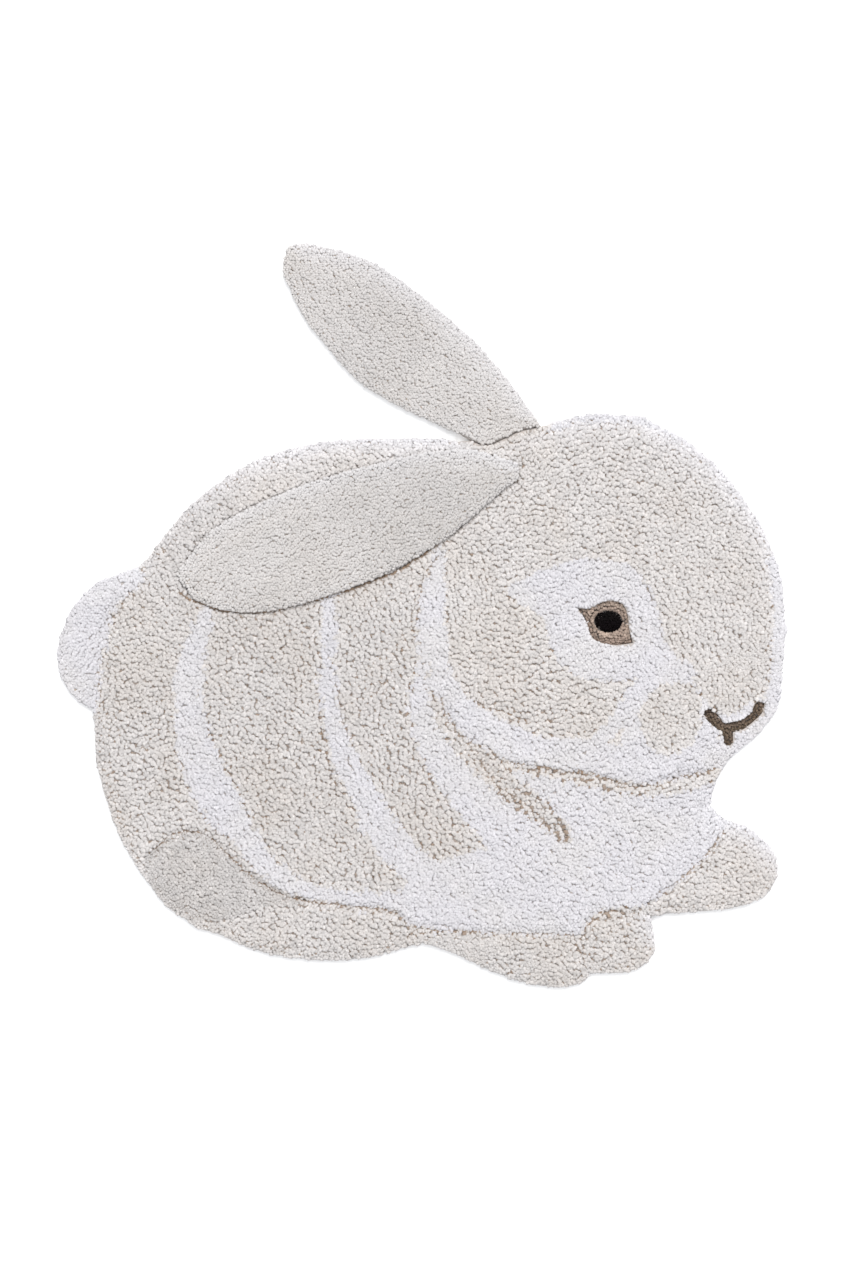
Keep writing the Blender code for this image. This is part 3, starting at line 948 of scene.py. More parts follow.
def fibre_group() -> bpy.types.NodeTree:
    """Makes the group that roughens yarn with fine fibres and softens its shading.

    Returns:
        The group.
    """
    group, tree, given, made = new_group("yarn fibres", (
        ("Scale", "NodeSocketFloat", 900.0), ("Strength", "NodeSocketFloat", 0.5),
        ("Distance", "NodeSocketFloat", 0.0004), ("Softness", "NodeSocketFloat", 0.45)),
        (("Normal", "NodeSocketVector"),))
    place = tree.add("ShaderNodeTexCoord").outputs["Object"]
    fibre = tree.add("ShaderNodeTexNoise", in_3=3.0, in_4=0.65)
    tree.join(place, fibre.inputs["Vector"])
    tree.join(given.outputs["Scale"], fibre.inputs["Scale"])
    bump = tree.add("ShaderNodeBump")
    tree.join(given.outputs["Strength"], bump.inputs["Strength"])
    tree.join(given.outputs["Distance"], bump.inputs["Distance"])
    tree.join(fibre.outputs["Fac"], bump.inputs["Height"])
    upward = tree.add("ShaderNodeMix", data_type="VECTOR", in_5=(0, 0, 1))
    tree.join(given.outputs["Softness"], upward.inputs[0])
    tree.join(tree.add("ShaderNodeNewGeometry").outputs["Normal"], upward.inputs[4])
    even = tree.add("ShaderNodeVectorMath", operation="NORMALIZE")
    tree.join(upward.outputs[1], even.inputs[0])
    tree.join(even.outputs[0], bump.inputs["Normal"])
    tree.join(bump.outputs[0], made.inputs[0])
    return group


def new_material(name: str) -> tuple[bpy.types.Material, Tree, bpy.types.Node]:
    """Makes a material.

    Args:
        name: Name of the material.

    Returns:
        The material, its tree helper and its Principled shader.
    """
    material = bpy.data.materials.new(name)
    material.use_nodes = True
    return material, Tree(material.node_tree), material.node_tree.nodes["Principled BSDF"]


@dataclass(frozen=True)
class YarnFinish:
    """Matte cut yarn of one colour.

    Args:
        slot: The record's material slot.
        yarn: Colour of the yarn at its cut end.
        root: Colour deep in the pile, darker than the yarn as painted shade.
        brown: Darker, browner colour deep in the pile where it parts and on the rim away from the window,
            as painted shade.
        lit: Colour of the painted highlight on the cut ends that face the window.
        warm: Colour of the cut ends in the warmer parts of the pile.
        unevenness: How much the lightness changes from lock to lock.
        sheen: Weight of the soft light at grazing angles.
        specular: Strength of the mirror light.
        fibre_scale: Fibres to the metre.
    """

    slot: Slot
    yarn: Colour
    root: Colour
    brown: Colour
    lit: Colour
    warm: Colour
    unevenness: float = 0.20
    sheen: float = 0.25
    specular: float = 0.25
    fibre_scale: float = 900.0

    def material(self, groups: dict[str, bpy.types.NodeTree]) -> bpy.types.Material:
        """Makes the material from the shared node groups.

        Args:
            groups: The groups by name.

        Returns:
            The material.
        """
        material, tree, shader = new_material(self.slot)
        shader.inputs["Roughness"].default_value = 0.92
        shader.inputs["Specular IOR Level"].default_value = self.specular
        shader.inputs["Sheen Weight"].default_value = self.sheen
        shader.inputs["Sheen Roughness"].default_value = 0.5
        colour = tree.add("ShaderNodeGroup", node_tree=groups["yarn colour and painted light"])
        for key, value in (("Yarn", self.yarn), ("Root", self.root), ("Brown", self.brown),
                           ("Lit", self.lit), ("Warm", self.warm)):
            colour.inputs[key].default_value = (*value, 1)
        colour.inputs["Unevenness"].default_value = self.unevenness
        fibres = tree.add("ShaderNodeGroup", node_tree=groups["yarn fibres"])
        fibres.inputs["Scale"].default_value = self.fibre_scale
        tree.join(colour.outputs[0], shader.inputs["Base Color"])
        tree.join(fibres.outputs[0], shader.inputs["Normal"])
        return material


@dataclass(frozen=True)
class BackingFinish:
    """Plain woven cotton cloth under the pile.

    Args:
        slot: The record's material slot.
        thread: Colour of the threads.
        gap: Colour between the threads.
        thread_width: Distance from one thread to the next.
    """

    slot: Slot = Slot.BACKING
    thread: Colour = (0.62, 0.57, 0.50)
    gap: Colour = (0.30, 0.26, 0.21)
    thread_width: float = 0.0016

    def material(self) -> bpy.types.Material:
        """Makes the cloth: two crossing sets of threads, each over and under the other.

        Returns:
            The material.
        """
        material, tree, shader = new_material(self.slot)
        shader.inputs["Roughness"].default_value = 0.9
        shader.inputs["Sheen Weight"].default_value = 0.15
        place = tree.add("ShaderNodeTexCoord").outputs["Object"]
        split = tree.add("ShaderNodeSeparateXYZ")
        tree.join(place, split.inputs[0])
        turn = math.pi / self.thread_width
        warp = tree.math("ABSOLUTE", tree.math("SINE", tree.math("MULTIPLY", split.outputs[0], turn), 0), 0)
        weft = tree.math("ABSOLUTE", tree.math("SINE", tree.math("MULTIPLY", split.outputs[1], turn), 0), 0)
        height = tree.math("MAXIMUM", warp, weft)
        wear = tree.add("ShaderNodeTexNoise", in_2=60.0, in_3=4.0)
        tree.join(place, wear.inputs["Vector"])
        colour = tree.mix(height, (*self.gap, 1), (*self.thread, 1))
        tree.join(tree.mix(tree.math("MULTIPLY", wear.outputs["Fac"], 0.3), colour, (*self.gap, 1)),
                  shader.inputs["Base Color"])
        bump = tree.add("ShaderNodeBump", in_0=0.6, in_1=0.0004)
        tree.join(height, bump.inputs["Height"])
        tree.join(bump.outputs[0], shader.inputs["Normal"])
        return material


# Each yarn's root and brown colours are painted shade deep in the pile and its lit colour is a painted
# highlight; yarn and warm are its own colours.
BEIGE_YARN = YarnFinish(
    Slot.BEIGE, yarn=(0.686, 0.659, 0.646), root=(0.392, 0.337, 0.299), brown=(0.282, 0.195, 0.131),
    lit=(0.777, 0.765, 0.790), warm=(0.666, 0.630, 0.605))
WHITE_YARN = YarnFinish(
    Slot.WHITE, yarn=(0.710, 0.696, 0.723), root=(0.612, 0.584, 0.584), brown=(0.388, 0.301, 0.226),
    lit=(0.775, 0.765, 0.791), warm=(0.713, 0.695, 0.702), unevenness=0.12)
EAR_YARN = YarnFinish(
    Slot.EAR, yarn=(0.663, 0.639, 0.627), root=(0.435, 0.381, 0.337), brown=(0.305, 0.218, 0.153),
    lit=(0.740, 0.723, 0.729), warm=(0.644, 0.616, 0.597), unevenness=0.12)
BROWN_YARN = YarnFinish(
    Slot.BROWN, yarn=(0.359, 0.277, 0.229), root=(0.109, 0.078, 0.063), brown=(0.087, 0.060, 0.044),
    lit=(0.380, 0.299, 0.245), warm=(0.315, 0.239, 0.196), unevenness=0.5, sheen=0.1)
BLACK_YARN = YarnFinish(
    Slot.BLACK, yarn=(0.006, 0.0045, 0.0055), root=(0.003, 0.002, 0.0025), brown=(0.003, 0.002, 0.0025),
    lit=(0.007, 0.006, 0.006), warm=(0.006, 0.0045, 0.005), unevenness=0.3, sheen=0.0, specular=0.03)
MOUTH_YARN = YarnFinish(
    Slot.DARK_BROWN, yarn=(0.143, 0.105, 0.075), root=(0.066, 0.047, 0.033), brown=(0.066, 0.047, 0.033),
    lit=(0.165, 0.121, 0.094), warm=(0.132, 0.094, 0.066), unevenness=0.45, sheen=0.08)


# The pile


@dataclass(frozen=True)
class PileStyle:
    """How a field of locks is tufted and combed.

    Args:
        spacing: Distance between locks.
        width: Half width of a lock.
        lean: How far a tip lies beyond its root.
        rag: How unevenly the ends are cut.
        slit_pitch: Distance between the short slits in which the pile opens.
        slit_gap: Half width of a slit.
        slit_length: Length of a slit.
        low_share: Share of locks that are cut short.
        wander: Unevenness of the heading, in radians.
        swirl: Slow turning of the heading from clump to clump, in radians.
        tone: Lightness against the rest of the yarn; the hind foot's darker tone is painted shadow of the
            raised haunch.
        shine_reach: How far in from the rim the pile catches the window's light.
        lift: How far the pile stands up against the upper edge of what lies on it.
    """

    spacing: float
    width: float
    lean: float
    rag: float
    slit_pitch: float
    slit_gap: float
    slit_length: float
    low_share: float = 0.04
    wander: float = 0.4
    swirl: float = 0.5
    tone: float = 0.0
    # shine_reach: How far in from the rim the pile catches the window's light, painted on as a highlight.
    shine_reach: float = 0.022
    lift: float = 0.0

    def rim_share(self, depth: np.ndarray) -> np.ndarray:
        """Says how much places at some depths in the pile belong to its rim: 1 on it, less inwards."""
        return np.exp(-(np.maximum(depth, 0) / self.shine_reach) ** 1.5)


COARSE = PileStyle(spacing=0.0043, width=0.0040, lean=0.0042, rag=0.0006,
                   slit_pitch=0.0078, slit_gap=0.0009, slit_length=0.0046, lift=0.005)
SOFT = PileStyle(spacing=0.0043, width=0.0042, lean=0.0036, rag=0.0004,
                 slit_pitch=0.0125, slit_gap=0.00035, slit_length=0.006, low_share=0.01)
FINE = PileStyle(spacing=0.0037, width=0.0032, lean=0.0040, rag=0.0003,
                 slit_pitch=0.0110, slit_gap=0.0004, slit_length=0.006, low_share=0.01, wander=0.25)
# The hind foot's fine pile, darker as painted shadow of the raised haunch.
SHADOWED_FOOT = replace(FINE, tone=-0.95)
INLAY = PileStyle(spacing=0.0034, width=0.0027, lean=0.0008, rag=0.0005,
                  slit_pitch=0.0200, slit_gap=0.0001, slit_length=0.004, low_share=0.0)


@dataclass
class Slits(Rows):
    """Short openings in the pile, each with a lock lying at its bottom that is coloured dark as painted
    shade.

    Args:
        middle: Middles in plan, shaped (count, 2).
        way: Unit headings in plan.
        half: Half lengths.
        gap: Half widths.
        tint: How brown each is, from 0 to 1.
    """

    middle: np.ndarray
    way: np.ndarray
    half: np.ndarray
    gap: np.ndarray
    tint: np.ndarray

    @classmethod
    def over(cls, spots: np.ndarray, style: PileStyle, comb: Comb, draw: np.random.Generator) -> Self:
        """Scatters slits over the part of the pile that has its roots at the given spots.

        Args:
            spots: Roots in plan.
            style: Size and spacing of the slits.
            comb: The way the pile lies.
            draw: Source of chance.

        Returns:
            The slits.
        """
        middle = scattered(spots.min(0), spots.max(0), style.slit_pitch, 0.45, draw)
        tree = tree_of(spots)
        middle = middle[[tree.find((x, y, 0))[2] < style.spacing for x, y in middle]]
        count = len(middle)
        return cls(middle, turned(comb.headings(middle), draw.normal(0, 0.45, count)),
                   style.slit_length / 2 * draw.uniform(0.45, 1.5, count),
                   style.slit_gap * draw.uniform(0.3, 1.5, count), 0.6 * draw.random(count))

    @classmethod
    def along(cls, partings: Sequence[Parting], draw: np.random.Generator) -> Self:
        """Lays broken runs of slits along the lines where the pile parts, and the single flecks.

        Args:
            partings: The lines.
            draw: Source of chance.

        Returns:
            The slits.
        """
        rows = []
        for parting in partings:
            run = smooth_run(parting.points_mm, closed=False)
            step = np.linalg.norm(np.diff(run[:, :2], axis=0), axis=1)
            travel = np.concatenate([[0], np.cumsum(step)])
            at = 0.0
            while at < travel[-1]:
                half = draw.uniform(2.0, 4.5) * MM
                x, y = (np.interp(at + half, travel, run[:, axis]) for axis in (0, 1))
                ahead = [np.interp(at + half + 1 * MM, travel, run[:, axis]) for axis in (0, 1)]
                way = np.array(ahead) - (x, y)
                way = way if np.linalg.norm(way) > 1e-6 else run[-1, :2] - run[-2, :2]
                if draw.random() < parting.strength:
                    side = draw.normal(0, 0.5) * MM
                    way = way / np.linalg.norm(way)
                    rows.append((x - way[1] * side, y + way[0] * side, way[0], way[1], half,
                                 parting.half_mm * MM * draw.uniform(0.5, 1.3), draw.uniform(0.6, 1)))
                at += 2 * half * draw.uniform(0.85, 1.15)
        for x, y, half, degrees in FLECK_ROWS:
            way = (math.cos(math.radians(degrees)), math.sin(math.radians(degrees)))
            rows.append((x * MM, y * MM, *way, half * MM, 1.0 * MM, 0.9))
        table = np.array(rows).reshape(-1, 7)
        return cls(table[:, :2], turned(table[:, 2:4], draw.normal(0, 0.16, len(table))),
                   *table[:, 4:].T)

    def push(self, spots: np.ndarray, width: np.ndarray) -> np.ndarray:
        """Finds how far locks are pushed aside by the slits.

        Args:
            spots: Middles of the locks in plan.
            width: Their half widths.

        Returns:
            The push on each lock, in plan.
        """
        tree = tree_of(self.middle)
        near = np.array([[found[1] for found in tree.find_n((x, y, 0), 4)] for x, y in spots])
        push = np.zeros_like(spots)
        for chosen in near.T:
            apart = spots + push - self.middle[chosen]
            way = self.way[chosen]
            across = np.stack([-way[:, 1], way[:, 0]], axis=1)
            along = np.sum(apart * way, axis=1)
            over = np.sum(apart * across, axis=1)
            wide = np.sqrt(np.clip(1 - (along / (self.half[chosen] + 0.4 * width)) ** 2, 0, 1))
            need = (self.gap[chosen] + SHOULDER_SHARE * width) * wide
            push += across * (np.sign(over) * np.clip(need - np.abs(over), 0, None))[:, None]
        return push

    def locks(self, height: np.ndarray, draw: np.random.Generator) -> Locks:
        """Lays the locks at the bottoms of the slits, coloured wholly in the root colours as painted shade.

        Args:
            height: Height of the bottom of each slit.
            draw: Source of chance.

        Returns:
            The locks.
        """
        count = len(self.middle)
        reach = self.way * (self.half + 0.8 * MM)[:, None]
        root = np.column_stack([self.middle - reach, height])
        tip = np.column_stack([self.middle + reach, height + 0.4 * MM])
        # A lit of 0 colours these locks wholly as painted shade.
        return Locks(root, tip, self.gap + 1.0 * MM, draw.uniform(0, TURN, count),
                     draw.normal(0, 0.5, count), self.tint, np.zeros(count), np.zeros(count))


@dataclass
class PileField:
    """The pile of one panel, ready to be tufted.

    Args:
        node: CAD node whose top the pile reaches.
        bed: Height of the top of the dense roots.
        comb: The way the pile lies.
        hem: How far the pile stands past the rim of the underside.
        moods: Places in millimetres with the openness and the lightness of the pile there.
        seam_with: Nodes that the rim is sewn to or lies against, where it doesn't splay.
        cut_for: Nodes that take the pile's place.
        upright: How little the rim splays where it faces the window, from 0 to 1.
        rim: Rim of the node's underside, read when the field is made.
        top: The node's top, read likewise.
        cuts: Rims of the nodes that take the pile's place, read likewise.
    """

    node: str
    bed: float
    comb: Comb
    hem: float
    moods: Points = ()
    seam_with: Sequence[str] = ()
    cut_for: Sequence[str] = ()
    upright: float = 0.0
    rim: Edge = field(init=False)
    top: Surface = field(init=False)
    cuts: list[Edge] = field(init=False)

    def __post_init__(self) -> None:
        """Reads the panel's rim and top, and the rims of what is cut out of it."""
        self.rim = Edge.from_node(self.node)
        self.cuts = [Edge.from_node(name) for name in self.cut_for]
        self.top = Surface(self.node)

    def places(self, spacing: float, margin: float, draw: np.random.Generator) -> np.ndarray:
        """Scatters roots over the panel, clear of its rim and of what is cut out of it.

        Args:
            spacing: Distance between them.
            margin: Least depth inside the pile's outline.
            draw: Source of chance.

        Returns:
            The roots in plan.
        """
        flat = self.rim.segments.reshape(-1, 2)
        spots = scattered(flat.min(0) - self.hem, flat.max(0) + self.hem, spacing, 0.24, draw)
        spots = spots[self.depth(spots)[0] > margin]
        for edge in self.cuts:
            distance, _ = edge.nearest(spots)
            spots = spots[~edge.contains(spots) & (distance > 1.6 * MM)]
        return spots

    def depth(self, spots: np.ndarray) -> tuple[np.ndarray, np.ndarray]:
        """Gives how deep each place lies inside the pile's outline, and the direction out of it.

        Args:
            spots: Places in plan, shaped (count, 2).

        Returns:
            The depths and the unit directions.
        """
        distance, heading = self.rim.nearest(spots)
        inside = self.rim.contains(spots)
        depth = np.where(inside, distance, -distance) + self.hem * self.freedom(spots)
        return depth, np.where(inside[:, None], heading, -heading)

    def freedom(self, spots: np.ndarray) -> np.ndarray:
        """Says how free the rim is near each place.

        Args:
            spots: Places in plan, shaped (count, 2).

        Returns:
            1 at a loose rim, 0 at a seam.
        """
        free = np.ones(len(spots))
        for name in self.seam_with:
            distance, _ = Edge.from_node(name).nearest(spots)
            free = np.minimum(free, np.clip((distance - 8 * MM) / (14 * MM), 0, 1))
        return free

    def tops(self, spots: np.ndarray) -> np.ndarray:
        """Gives the height of the pile's top at each place."""
        return np.maximum(self.top.heights(spots, self.bed + USUAL_PILE), self.bed + LEAST_PILE)

    def openings(self, spots: np.ndarray, style: PileStyle, draw: np.random.Generator,
                 partings: Sequence[Parting]) -> Slits:
        """Opens the pile in short slits and along its partings.

        Args:
            spots: Roots of the locks in plan.
            style: Size and spacing of the slits.
            draw: Source of chance.
            partings: Lines where the pile opens.

        Returns:
            The slits.
        """
        slits = Slits.over(spots, style, self.comb, draw)
        aside, out = self.depth(slits.middle)
        slits.gap *= 1 - 0.9 * facing_window(out) * style.rim_share(aside)
        if self.moods:
            slits.gap *= mood(self.moods, slits.middle)[:, 0]
        if not partings:
            return slits
        border = np.exp(-(white_depth(slits.middle) / BORDER_REACH) ** 2)
        slits.tint = np.maximum(slits.tint, 0.9 * border * draw.random(len(border)) ** 0.5)
        slits.gap *= 1 + 0.5 * border
        runs = Slits.along(partings, draw)
        tree = tree_of(spots)
        mine = np.array([tree.find((x, y, 0))[2] < style.spacing for x, y in runs.middle])
        return slits.joined(runs.only(mine))

    def tuft(self, spots: np.ndarray, style: PileStyle, draw: np.random.Generator,
             partings: Sequence[Parting] = (), tone: np.ndarray | float = 0.0) -> Locks:
        """Grows a lock at each place, and the ones in the slits that are dark with painted shade.

        Args:
            spots: Roots in plan.
            style: How the locks are made and combed.
            draw: Source of chance.
            partings: Lines where the pile opens.
            tone: Lightness of each lock, around 0.

        Returns:
            The locks.
        """
        count = len(spots)
        swirl = wobble(spots, 34, 0.5) * style.swirl
        way = turned(self.comb.headings(spots), draw.normal(0, style.wander, count) + swirl)
        distance, outward = self.depth(spots)
        free = self.freedom(spots)
        splay = free * np.exp(-distance / RIM_REACH) * (1 - self.upright * facing_window(outward))
        # Shine is a painted highlight on the rim facing the window; shade is painted shade on the rim away
        # from it.
        shine = facing_window(outward) * free * style.rim_share(distance)
        shade = facing_window(-outward) * free * np.exp(-distance / SHADE_REACH)
        lean = way * (style.lean * draw.uniform(0.75, 1.25, count) * (1 - splay))[:, None]
        lean += outward * (splay * 3.4 * MM * draw.uniform(0.7, 1.3, count))[:, None]
        width = style.width * draw.uniform(0.85, 1.15, count)
        lift = np.zeros(count)
        for edge in self.cuts:
            gap, towards = edge.nearest(spots)
            width = np.minimum(width, gap + 0.5 * MM)
            over = np.sum(lean * towards, axis=1) - np.maximum(gap - width, 0)
            lean -= towards * np.maximum(over, 0)[:, None]
            lift = np.maximum(lift, facing_window(-towards) * np.exp(-gap / LIFT_REACH))
        slits = self.openings(spots, style, draw, partings)
        # Mood lightness is in part painted light across the rug.
        if self.moods:
            tone = tone + mood(self.moods, spots)[:, 1]
        # Near a parting the locks sink, and their colour takes painted shade of the crease: browner and
        # darker roots, less of the cut end's colour.
        near = np.zeros(count)
        for parting in partings:
            line = Edge.from_run(smooth_run(parting.points_mm, closed=False), closed=False)
            gap, _ = line.nearest(spots)
            near = np.maximum(near, parting.strength * np.exp(-(gap / (parting.reach_mm * MM)) ** 2))
        shift = slits.push(spots + 0.8 * lean, width) * (1 - splay)[:, None]
        spots = spots + shift
        top = self.tops(spots)
        height = top - np.abs(draw.normal(0, style.rag, count)) + 0.6 * MM
        low = draw.random(count) < style.low_share
        height = np.where(low, height - draw.uniform(1.0, 2.0, count) * MM, height)
        height -= splay ** 2 * (top - self.bed) * 1.1 + near * 0.8 * MM
        height += lift * style.lift
        height = np.maximum(height, self.bed + 0.8 * MM - 6 * MM * splay)
        root = np.column_stack([spots, np.full(count, self.bed - 1.8 * MM) - splay * 2 * MM])
        tip = np.column_stack([spots + lean, height])
        # Tint and lit carry painted shade at partings and on the shaded rim; lit above 1 is painted light
        # on a splayed rim.
        locks = Locks(root, tip, width, draw.uniform(0, TURN, count),
                      draw.normal(style.tone, 0.5, count) + tone,
                      np.clip(0.2 * draw.random(count) + near + shade, 0, 1),
                      1 + 0.6 * splay - 0.35 * np.maximum(near, shade) * draw.random(count), shine)
        slits = slits.only(self.depth(slits.middle)[0] > 6 * MM)
        return locks.joined(slits.locks(self.bed + ROOT_SHARE * (self.tops(slits.middle) - self.bed), draw))

    def skirt(self, spacing: float, draw: np.random.Generator) -> Locks:
        """Grows the locks that hang over the loose rim of the panel.

        Args:
            spacing: Distance between them along the rim.
            draw: Source of chance.

        Returns:
            The locks.
        """
        a, b = self.rim.segments[:, 0], self.rim.segments[:, 1]
        picked = []
        for start, end, size in zip(a, b, np.linalg.norm(b - a, axis=1)):
            for _ in range(int(size / spacing + draw.random())):
                picked.append(start + (end - start) * draw.random())
        spots = np.array(picked)
        spots = spots[self.freedom(spots) > 0.3]
        normal = self.outward(spots)
        count = len(spots)
        share = draw.random(count)
        base = self.bed - 9 * MM if self.bed > 12 * MM else 0.0
        high = base + (4.5 + 6.0 * share) * MM
        low = base + (2.4 + 4.8 * share) * MM
        reach = (3.2 + 1.6 * share + draw.uniform(0, 0.8, count)) * MM
        spots = spots + normal * (self.hem * self.freedom(spots) - 4.5 * MM)[:, None]
        root = np.column_stack([spots, high])
        tip = np.column_stack([spots + normal * reach[:, None], low])
        # Rim locks keep no painted shade at the root (lit 1.5) and take the painted highlight where they
        # face the window.
        return Locks(root, tip, draw.uniform(1.9, 2.6, count) * MM, draw.uniform(0, TURN, count),
                     draw.normal(0, 0.5, count), np.full(count, 0.1), np.full(count, 1.5),
                     0.7 * facing_window(normal))

    def outward(self, spots: np.ndarray) -> np.ndarray:
        """Gives the direction out of the panel at places on its rim.

        Args:
            spots: The places in plan, shaped (count, 2).

        Returns:
            Unit directions in plan.
        """
        turn = np.linspace(0, TURN, 16, endpoint=False)
        sum_in = np.zeros_like(spots)
        for angle in turn:
            step = np.array([math.cos(angle), math.sin(angle)])
            sum_in += self.rim.contains(spots + step * 5 * MM)[:, None] * step
        size = np.maximum(np.linalg.norm(sum_in, axis=1), 1e-9)
        return -sum_in / size[:, None]


def white_depth(spots: np.ndarray) -> np.ndarray:
    """Gives how deep each place lies in the white yarn, negative in the beige."""
    white = depth_in(WHITE_STROKES, WHITE_PATCHES, spots)
    return np.minimum(white, -depth_in((), BEIGE_PATCHES, spots))


@dataclass
class Dresser:
    """Gives finished pieces their material, slot and body, and reports them.

    Args:
        materials: Material by slot.
    """

    materials: dict[Slot, bpy.types.Material]

    def dress(self, piece: bpy.types.Object, slot: Slot) -> bpy.types.Object:
        """Dresses one piece.

        Args:
            piece: The piece.
            slot: Slot of its finish.

        Returns:
            The piece.
        """
        piece.data.materials.clear()
        piece.data.materials.append(self.materials[slot])
        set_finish(piece, slot)
        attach(piece, BODY)
        LOG.info("%s: %d triangles, %s", piece.name, len(piece.data.polygons), slot)
        return piece


@dataclass
class Foundation:
    """The woven backing of a panel, and the dense roots of the pile that stand on it.

    Args:
        node: CAD node of the panel.
        label: Maker's word for the panel, used in the names of the pieces.
        bed: Height of the top of the roots.
        cloth: Thickness of the backing.
        inset: How far the roots stay inside the rim.
    """

    node: str
    label: str
    bed: float
    cloth: float = 0.0015
    inset: float = 0.0005

    def merged_copy(self, name: str) -> bpy.types.Object:
        """Copies the CAD node's mesh and merges its loose triangles.

        Args:
            name: Name of the copy.

        Returns:
            The copy.
        """
        piece = bpy.data.objects.new(name, frame["nodes"][self.node].data.copy())
        bpy.context.scene.collection.objects.link(piece)
        mesh = bmesh.new()
        mesh.from_mesh(piece.data)
        bmesh.ops.remove_doubles(mesh, verts=mesh.verts, dist=1e-6)
        mesh.to_mesh(piece.data)
        mesh.free()
        return piece

    def backing(self) -> bpy.types.Object:
        """Makes the woven sheet from the flat underside.

        Returns:
            The sheet.
        """
        piece = self.merged_copy(f"backing_{self.label}")
        mesh = bmesh.new()
        mesh.from_mesh(piece.data)
        floor = min(v.co.z for v in mesh.verts)
        mesh.normal_update()
        away = [f for f in mesh.faces if not is_under(f, floor)]
        bmesh.ops.delete(mesh, geom=away, context="FACES")
        mesh.to_mesh(piece.data)
        mesh.free()
        deselect()
        bpy.context.view_layer.objects.active = piece
        piece.select_set(True)
        wall = piece.modifiers.new("thickness", "SOLIDIFY")
        wall.thickness = self.cloth
        wall.offset = -1
        bpy.ops.object.modifier_apply(modifier=wall.name)
        return piece

    def roots(self) -> bpy.types.Object:
        """Makes the dense roots: the panel's own solid, cut low and drawn in from its rim.

        Returns:
            The roots.
        """
        piece = self.merged_copy(f"roots_{self.label}")
        mesh = piece.data
        points = np.array([v.co[:] for v in mesh.vertices])
        floor = points[:, 2].min()
        edge = Edge.from_node(self.node)
        distance, outward = edge.nearest(points[:, :2])
        inside = edge.contains(points[:, :2])
        outward = np.where(inside[:, None], outward, -outward)
        pull = np.where(inside, np.exp(-distance / (10 * MM)) * self.inset, self.inset + distance)
        points[:, :2] -= outward * pull[:, None]
        high = points[:, 2] > self.bed
        points[high, 2] = self.bed + ROOT_SHARE * (points[high, 2] - self.bed)
        points[:, 2] = np.maximum(points[:, 2], floor + self.cloth * 0.6)
        mesh.vertices.foreach_set("co", points.astype(np.float32).ravel())
        mesh.polygons.foreach_set("use_smooth", np.ones(len(mesh.polygons), bool))
        mesh.update()
        # The roots' colour sits part way between the yarn and its painted-shade root colour.
        for label, value in (("depth", 0.55), ("tone", 0.0), ("tint", 0.2), ("shine", 0.0)):
            keep_values(piece, label, np.full(len(points), value))
        return piece


